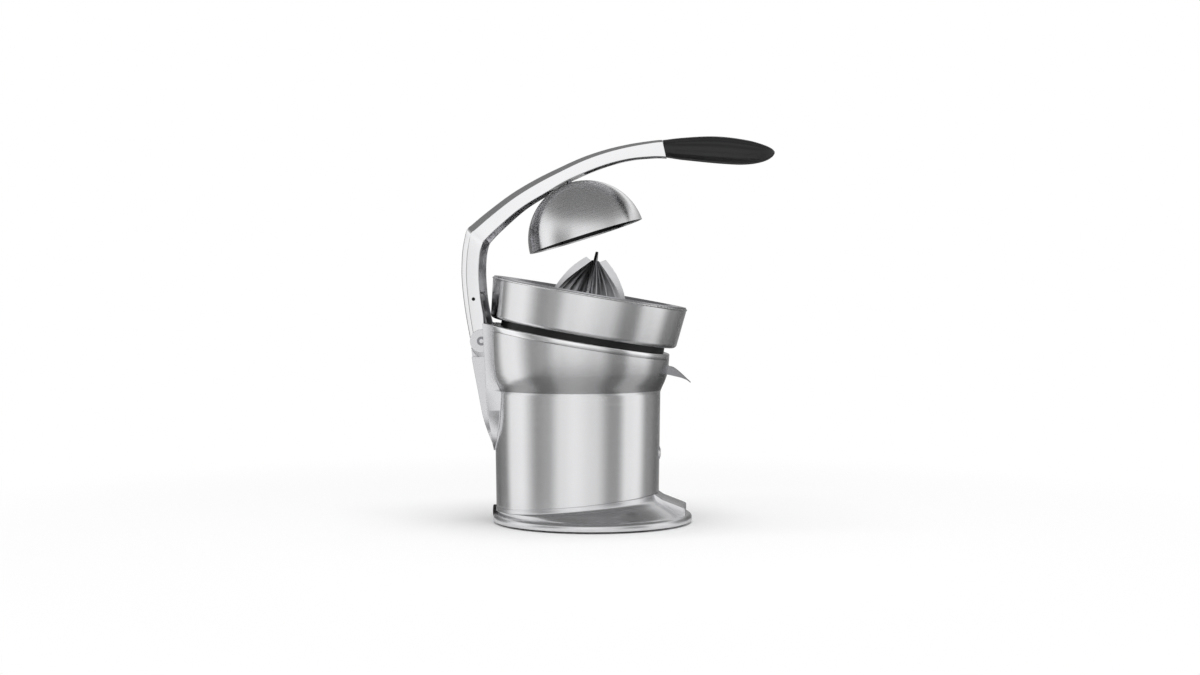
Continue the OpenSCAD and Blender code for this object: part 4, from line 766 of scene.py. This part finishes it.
def arm_section(row):
    outer = Vector((HINGE_X + row[0] * ARM_REACH, HINGE_Z + row[1] * ARM_RISE))
    inner = Vector((HINGE_X + row[2] * ARM_REACH, HINGE_Z + row[3] * ARM_RISE))
    across = outer - inner
    outside, inside = arm_outline(across.length, row[4] * ARM_HALF, row[5] * ARM_BEVEL)
    across.normalize()
    mirrored = [(d, -y) for d, y in reversed(outside)] + [(d, -y) for d, y in reversed(inside)]
    return [(inner.x + across.x * d, y, inner.y + across.y * d) for d, y in outside + mirrored + inside]


print("arm reaches", ARM_REACH, "mm ahead of its hinge and", ARM_RISE, "mm over it")

# %% [markdown]
# A curve fills in six sections from each row of the table to the next, and one skin joins them all. Edges
# that bend by more than 16 degrees stay sharp. That keeps the line along the bevel and a smooth elbow.

# %% Arm skin
bm = skin_over([arm_section(row) for row in smooth_rows(ARM_SHARES, 6)])
finish_piece(bm, "arm_skin", CAST_POLISHED, "arm", ["arm_casting"], 16.0)

# %% [markdown]
# The arm's foot is rounded where it swings in the pocket. On the real arm it is one casting with the walls.
# Here each foot plate is a disc drawn up into its wall, because that keeps the arm's own sections simple.
# Only the rim is bevelled: those are the edges where two faces meet at a steep angle.

# %% Foot plates of the arm
HEEL_X = HINGE_X + 4.4
HEEL_Z = HINGE_Z - 3.1
HEEL_R = 16.7
HEEL_TOP = HINGE_Z + 7.0
HEEL_FRONT = HINGE_X + 0.014 * ARM_REACH
HEEL_BACK = HINGE_X - 0.05 * ARM_REACH
HEEL_FACES = (ARM_HALF - ARM_WALL - 0.1, ARM_HALF + 0.05)
HEEL_EDGE = 0.6
STEEP = 1.2


def heel_outline():
    angles = [math.radians(199 + k * 8.0) for k in range(24)]
    arc = [(HEEL_X + HEEL_R * math.cos(a), HEEL_Z + HEEL_R * math.sin(a)) for a in angles]
    return arc + [(HEEL_FRONT, HEEL_TOP), (HEEL_BACK, HEEL_TOP)]


for side, label in SIDES:
    bm = skin_over([[(x, side * y, z) for x, z in heel_outline()] for y in HEEL_FACES])
    bmesh.ops.recalc_face_normals(bm, faces=bm.faces)
    round_edges(bm, [e for e in bm.edges if e.calc_face_angle(0) > STEEP], HEEL_EDGE, 2)
    finish_piece(bm, "arm_foot_" + label, CAST_SATIN, "arm", [], 30.0)

# %% [markdown]
# A flat round boss stands on each foot plate, with the cap of the axle in its middle. It rides on the arm and
# not on the spine, so that it swings out with the foot and never covers the cap.

# %% Hinge bosses
BOSS_R = 13.2
BOSS_LOW = 35.9
BOSS_HIGH = 36.6
BOSS_CHAMFER = 0.25
BOSS_OUTLINE = [(0.0, BOSS_LOW), (BOSS_R, BOSS_LOW), (BOSS_R, BOSS_HIGH - BOSS_CHAMFER),
                (BOSS_R - BOSS_CHAMFER, BOSS_HIGH), (0.0, BOSS_HIGH)]
hinge = Matrix.Translation((HINGE_X * MM, 0, HINGE_Z * MM))
for side, label in SIDES:
    bm = spun(BOSS_OUTLINE, 96)
    turned = hinge @ Matrix.Rotation(math.radians(-90 * side), 4, "X")
    bmesh.ops.transform(bm, matrix=turned, verts=bm.verts)
    finish_piece(bm, "hinge_boss_" + label, CAST_SATIN, "arm", [], 30.0)

# %% [markdown]
# The pin between the arm and its link is a plain black bar. Its ends are chamfered and stand just proud of
# the arm's walls. The CAD node gives its place and size, and is replaced because its flat facets show.

# %% Arm pin
PIN_CHAMFER = 0.5
PIN_END_SHARE = 0.75
low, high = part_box("arm_pin")
r = (high.z - low.z) / 2 / MM
half = (high.y - low.y) / 2 / MM
outline = [(0.0, -half), (r * PIN_END_SHARE, -half), (r, -half + PIN_CHAMFER), (r, half - PIN_CHAMFER),
           (r * PIN_END_SHARE, half), (0.0, half)]
bm = spun(outline, 32)
place = Matrix.Translation((low + high) / 2)
bmesh.ops.transform(bm, matrix=place @ Matrix.Rotation(math.radians(90), 4, "X"), verts=bm.verts)
finish_piece(bm, "arm_pin_bar", PIN_BLACK, "arm", ["arm_pin"], 35.0)

# %% [markdown]
# The grip is moulded rubber over a steel tang. Its sections are rounded boxes that swell in the palm and
# close at the tip. A power of the cosine makes a circle boxy, and a small cosine on top of it makes shallow
# ridges along the grip, so one formula gives both. The ridges fade out at both ends.

# %% Grip skin
GRIP_LEN = 127.6
GRIP_H = 30.0
GRIP_HALF = 19.0
GRIP_X = HINGE_X + ARM_REACH
GRIP_Z = HINGE_Z + ARM_RISE * 0.9385
GRIP_GAP = 0.3
GRIP_POINTS = 96
BOXINESS = 0.75
RIDGES = 12
RIDGE_DEEP = 0.35
FADE_IN, FADE_OUT = 6, 5
JOINT_SLANT = 4.4
# Shares of the length, of the height over and under the tip, and of the half width
GRIP_SHARES = [
    (0.00, 0.485, -0.175, 0.87), (0.10, 0.535, -0.225, 0.93), (0.22, 0.575, -0.280, 0.98),
    (0.34, 0.605, -0.335, 1.00), (0.46, 0.610, -0.387, 1.00), (0.58, 0.575, -0.427, 0.98),
    (0.69, 0.510, -0.450, 0.93), (0.79, 0.430, -0.430, 0.86), (0.87, 0.335, -0.375, 0.75),
    (0.935, 0.235, -0.285, 0.58), (0.98, 0.130, -0.160, 0.36), (1.00, 0.030, -0.040, 0.12)]


def grip_section(row):
    middle = GRIP_H * (row[1] + row[2]) / 2
    up = GRIP_H * (row[1] - row[2]) / 2
    points = []
    for k in range(GRIP_POINTS):
        a = k * math.tau / GRIP_POINTS
        c, s = math.cos(a), math.sin(a)
        ridge = RIDGE_DEEP * math.cos(RIDGES * a) * min(1.0, row[0] * FADE_IN)
        ridge *= max(0.0, min(1.0, (1 - row[0]) * FADE_OUT))
        y = GRIP_HALF * row[3] * math.copysign(abs(c) ** BOXINESS, c) + ridge * c
        z = middle + up * math.copysign(abs(s) ** BOXINESS, s) + ridge * s
        slant = JOINT_SLANT * (1 - s) / 2 * max(0.0, 1 - row[0] * FADE_IN)
        points.append((GRIP_X + GRIP_GAP + GRIP_LEN * row[0] + slant, y, GRIP_Z + z))
    return points


bm = skin_over([grip_section(row) for row in smooth_rows(GRIP_SHARES, 5)])
finish_piece(bm, "grip_skin", RUBBER_GRIP, "arm", ["grip"], 50.0)

# %% [markdown]
# The juicing cone's core is moulded with deep flutes between its ribs. Each section is a circle whose radius
# rises and falls, and the sections shrink towards the top. Sixteen grooves could be cut out of a plain cone
# instead, but the wave also rounds the ribs between them.

# %% Cone core skin
FIN_R = 42.4
CONE_H = 57.4
CONE_LOW = 50.8
FLUTES = 16
FLUTE_STEPS = 10
FLUTE_DEEP = 0.17
FLUTE_FADE = 3
# Shares of the cone's height and of its radius
CORE_SHARES = [
    (0.0, 0.98), (0.1, 0.93), (0.22, 0.83), (0.36, 0.69), (0.5, 0.52), (0.63, 0.35), (0.74, 0.2), (0.82, 0.1)]


def core_section(row):
    level = deck_matrix(CONE_LOW)
    points = []
    for k in range(FLUTES * FLUTE_STEPS):
        a = k * math.tau / (FLUTES * FLUTE_STEPS)
        wave = abs(math.sin(FLUTES * a / 2))
        r = FIN_R * row[1] * (1 - FLUTE_DEEP * (1 - wave) * min(1.0, (1 - row[0]) * FLUTE_FADE))
        point = Vector((r * math.cos(a), r * math.sin(a), CONE_H * row[0])) * MM
        points.append(level @ point / MM)
    return points


bm = skin_over([core_section(row) for row in smooth_rows(CORE_SHARES, 5)])
finish_piece(bm, "cone_core_skin", CONE_METAL, "drive", ["cone_core"], 40.0)

# %% [markdown]
# The floor is a white paper sweep. Near the press it is plain paper, which keeps the soft shadow of the
# base. Further away it glows at full white, but only for the camera and for shiny or clear surfaces. So the
# background is white, and no extra light falls on the press.

# %% Floor
FLOOR_HALF = 8.0
GLOW_FROM, GLOW_FULL = 0.3, 0.9


def seen_rays(tree):
    """One for the rays of the camera, of metal and of clear parts, and zero for matt surfaces."""
    path = add(tree, "LightPath")
    pair = add(tree, "Math", {"operation": "MAXIMUM"},
               {0: path.outputs["Is Camera Ray"], 1: path.outputs["Is Glossy Ray"]})
    return add(tree, "Math", {"operation": "MAXIMUM"},
               {0: pair.outputs[0], 1: path.outputs["Is Transmission Ray"]}).outputs[0]


material, tree, shader = new_material("white_paper_sweep", "F9F9F9", 0.0, 0.9)
shader.inputs["Specular IOR Level"].default_value = 0.0
coords = add(tree, "TexCoord").outputs["Object"]
across = add(tree, "VectorMath", {"operation": "LENGTH"}, {0: coords})
far = add(tree, "MapRange",
          {"interpolation_type": "SMOOTHSTEP", "From Min": GLOW_FROM, "From Max": GLOW_FULL},
          {"Value": across.outputs["Value"]})
seen = add(tree, "Math", {"operation": "MULTIPLY"}, {0: far.outputs[0], 1: seen_rays(tree)})
glow = add(tree, "Emission")
mix = add(tree, "MixShader", {}, {0: seen.outputs[0], 1: shader.outputs[0], 2: glow.outputs[0]})
tree.links.new(mix.outputs[0], tree.nodes["Material Output"].inputs["Surface"])
bm = bmesh.new()
bmesh.ops.create_grid(bm, x_segments=1, y_segments=1, size=FLOOR_HALF)
object_from(bm, "floor", material)

# %% [markdown]
# A photographer puts black flags round polished metal, because steel in a white room has no shape. They could
# be many small cloths. Here each flag is one surface, and its cloth thins out with the direction or the
# distance, so that soft dark bands fall where the photograph has them. A flag works on one side only.

# %% Cloth of the flags
# Places round the press, as shares of a full turn, and how dark the cloth is there
FLAG_STOPS = [
    (0.00, 0.7), (0.09, 0.85), (0.17, 0.75), (0.22, 0.05), (0.275, 0.0), (0.355, 0.68), (0.395, 0.6),
    (0.45, 0.12), (0.50, 0.02), (0.58, 0.2), (0.645, 0.68), (0.67, 0.68), (0.715, 0.08), (0.77, 0.0),
    (0.83, 0.7), (0.92, 0.85), (1.00, 0.7)]


def share_of_turn(tree, place, across):
    """A place's direction as a share of a turn. Rays leave a round body, not its axis, so it is widened."""
    ahead = add(tree, "Math", {"operation": "MULTIPLY", 1: -1.0}, {0: place.outputs["Y"]})
    angle = add(tree, "Math", {"operation": "ARCTAN2"}, {0: place.outputs["X"], 1: ahead.outputs[0]})
    inner = add(tree, "Math", {"operation": "SUBTRACT", 1: BODY_R * MM / 2}, {0: across})
    widen = add(tree, "Math", {"operation": "DIVIDE"}, {0: across, 1: inner.outputs[0]})
    wide = add(tree, "Math", {"operation": "MULTIPLY"}, {0: angle.outputs[0], 1: widen.outputs[0]})
    return add(tree, "MapRange", {"From Min": -math.pi, "From Max": math.pi}, {"Value": wide.outputs[0]})


def flag_cloth(name, stops, reach, fade_axis="across", fade=(-1.0, -0.5)):
    """Black cloth that thins out with the direction, or with the distance where reach is given."""
    material, tree, shader = new_material(name, "0C0C0D", 0.0, 0.9)
    coords = add(tree, "TexCoord").outputs["Object"]
    place = add(tree, "SeparateXYZ", {}, {0: coords})
    flat = add(tree, "VectorMath", {"operation": "MULTIPLY", 1: (1, 1, 0)}, {0: coords})
    across = add(tree, "VectorMath", {"operation": "LENGTH"}, {0: flat.outputs[0]}).outputs["Value"]
    if reach:
        spread = add(tree, "MapRange", {"From Max": reach}, {"Value": across})
    else:
        spread = share_of_turn(tree, place, across)
    shades = add(tree, "ValToRGB", {}, {"Fac": spread.outputs[0]})
    shades.color_ramp.interpolation = "EASE"
    elements = shades.color_ramp.elements
    for k, (position, dark) in enumerate(stops):
        element = elements[k] if k < 2 else elements.new(position)
        element.position = position
        element.color = (dark, dark, dark, 1)
    front = add(tree, "Math", {"operation": "SUBTRACT", 0: 1.0},
                {1: add(tree, "NewGeometry").outputs["Backfacing"]})
    shown = add(tree, "Math", {"operation": "MULTIPLY"}, {0: shades.outputs["Color"], 1: front.outputs[0]})
    edge = add(tree, "MapRange",
               {"interpolation_type": "SMOOTHSTEP", "From Min": fade[0], "From Max": fade[1]},
               {"Value": place.outputs[fade_axis] if fade_axis in ("X", "Z") else across})
    part = add(tree, "Math", {"operation": "MULTIPLY"}, {0: shown.outputs[0], 1: edge.outputs[0]})
    clear = add(tree, "BsdfTransparent")
    mix = add(tree, "MixShader", {}, {0: part.outputs[0], 1: clear.outputs[0], 2: shader.outputs[0]})
    tree.links.new(mix.outputs[0], tree.nodes["Material Output"].inputs["Surface"])
    return material


print("the cloth changes at", len(FLAG_STOPS), "places round the press")

# %% [markdown]
# One curved wall stands round the press. A collar at the foot of the flare darkens what faces down there, a
# roof darkens what faces up, and a carpet takes the wall's bands over the floor, up to near the base. The
# camera and matt surfaces don't see them, and they cast no shadow, so they act on shiny metal alone.

# %% Flags
FLAG_R, FLAG_LOW, FLAG_HIGH = 1.5, 0.004, 1.2
FLAG_SIDES = 96
WALL_FADE = (1.1, 0.4)
COLLAR_R, COLLAR_Z = 0.45, 0.1525
COLLAR_STOPS = [(0.0, 0.62), (0.35, 0.58), (0.6, 0.32), (0.8, 0.12), (1.0, 0.0)]
COLLAR_EDGE = (-0.096, -0.082)
ROOF_R, ROOF_Z = 2.6, 1.5
ROOF_STOPS = [(0.0, 0.8), (0.6, 0.8), (1.0, 0.0)]
CARPET_Z = 0.0008
CARPET_CLEAR = (0.11, 0.19)


def flag_disc(name, height, faces_down, material, radius):
    bm = bmesh.new()
    bmesh.ops.create_circle(bm, cap_ends=True, segments=FLAG_SIDES, radius=radius)
    if faces_down:
        bmesh.ops.reverse_faces(bm, faces=bm.faces)
    bmesh.ops.translate(bm, vec=(0, 0, height), verts=bm.verts)
    return object_from(bm, name, material)


def flag_wall(material):
    bm = bmesh.new()
    low, high = bm.verts.new((FLAG_R, 0, FLAG_LOW)), bm.verts.new((FLAG_R, 0, FLAG_HIGH))
    upright = bm.edges.new((low, high))
    bmesh.ops.spin(bm, geom=[low, high, upright], cent=(0, 0, 0), axis=(0, 0, 1), angle=math.tau,
                   steps=FLAG_SIDES, use_merge=True)
    bmesh.ops.recalc_face_normals(bm, faces=bm.faces)
    bmesh.ops.reverse_faces(bm, faces=bm.faces)
    return object_from(bm, "flag_wall", material)


wall = flag_wall(flag_cloth("flag_wall_cloth", FLAG_STOPS, 0, "Z", WALL_FADE))
collar_cloth = flag_cloth("flag_collar_cloth", COLLAR_STOPS, COLLAR_R, "X", COLLAR_EDGE)
collar = flag_disc("flag_collar", COLLAR_Z, False, collar_cloth, COLLAR_R)
roof = flag_disc("flag_roof", ROOF_Z, True, flag_cloth("flag_roof_cloth", ROOF_STOPS, ROOF_R), ROOF_R)
carpet_cloth = flag_cloth("flag_carpet_cloth", FLAG_STOPS, 0, "across", CARPET_CLEAR)
carpet = flag_disc("flag_carpet", CARPET_Z, False, carpet_cloth, FLAG_R)
for piece in (wall, collar, roof, carpet):
    piece.visible_camera = False
    piece.visible_diffuse = False
    piece.visible_shadow = False

# %% [markdown]
# The world is a plain white room. The camera, the metal and anything clear see it at full strength. The
# light that falls on matt surfaces is a little weaker, so that white parts don't clip. A picture of a studio
# could light the press too, but the flags give the same bands without one.

# %% World
ROOM_LIGHT = 0.62
world = bpy.data.worlds.new("studio")
bpy.context.scene.world = world
world.use_nodes = True
tree = world.node_tree
level = add(tree, "MapRange", {"To Min": ROOM_LIGHT, "To Max": 1.0}, {"Value": seen_rays(tree)})
sky = tree.nodes["Background"]
sky.inputs["Color"].default_value = (1, 1, 1, 1)
tree.links.new(level.outputs[0], sky.inputs["Strength"])
print("room light on matt surfaces:", ROOM_LIGHT)

# %% [markdown]
# One large soft lamp hangs over the press, like a light box in a studio. It lights the rubber and the plastic
# from above and gives the base its faint shadow. Nothing mirrors it, so it leaves no square in the steel.

# %% Lamp
LAMP_PLACE = Vector((0.1, -0.3, 2.4))
LAMP_TARGET = Vector((0, 0, 0.1))
LAMP_SIZE = 1.6
LAMP_WATTS = 30.0
data = bpy.data.lights.new("overhead_box", "AREA")
data.shape = "SQUARE"
data.size = LAMP_SIZE
data.energy = LAMP_WATTS
lamp = bpy.data.objects.new("overhead_box", data)
lamp.location = LAMP_PLACE
lamp.rotation_euler = (LAMP_TARGET - LAMP_PLACE).to_track_quat("-Z", "Y").to_euler()
lamp.visible_glossy = False
bpy.context.scene.collection.objects.link(lamp)
print("lamp:", LAMP_WATTS, "W")

# %% [markdown]
# The camera stands two metres away, a little higher than the middle of the press and turned slightly to its
# front, as the photograph shows by the narrow ellipses of the rim and the base. A distance, a turn and a rise
# place it, because each can then be set against the photograph by itself.

# %% Camera
CAMERA_DISTANCE = 2.185
CAMERA_TURN = math.radians(3.7)
CAMERA_RISE = 0.066
LENS, SENSOR = 57.0, 36.0
AIM = Vector((0.0259, 0, 0.2122))
data = bpy.data.cameras.new("camera")
data.lens = LENS
data.sensor_width = SENSOR
camera = bpy.data.objects.new("camera", data)
back = Vector((math.sin(CAMERA_TURN), -math.cos(CAMERA_TURN), 0)) * CAMERA_DISTANCE
camera.location = AIM + back + Vector((0, 0, CAMERA_RISE))
camera.rotation_euler = (AIM - camera.location).to_track_quat("-Z", "Y").to_euler()
bpy.context.scene.collection.objects.link(camera)
bpy.context.scene.camera = camera
print("camera at", [round(x, 3) for x in camera.location])
bpy.context.scene.view_settings.view_transform = "Standard"
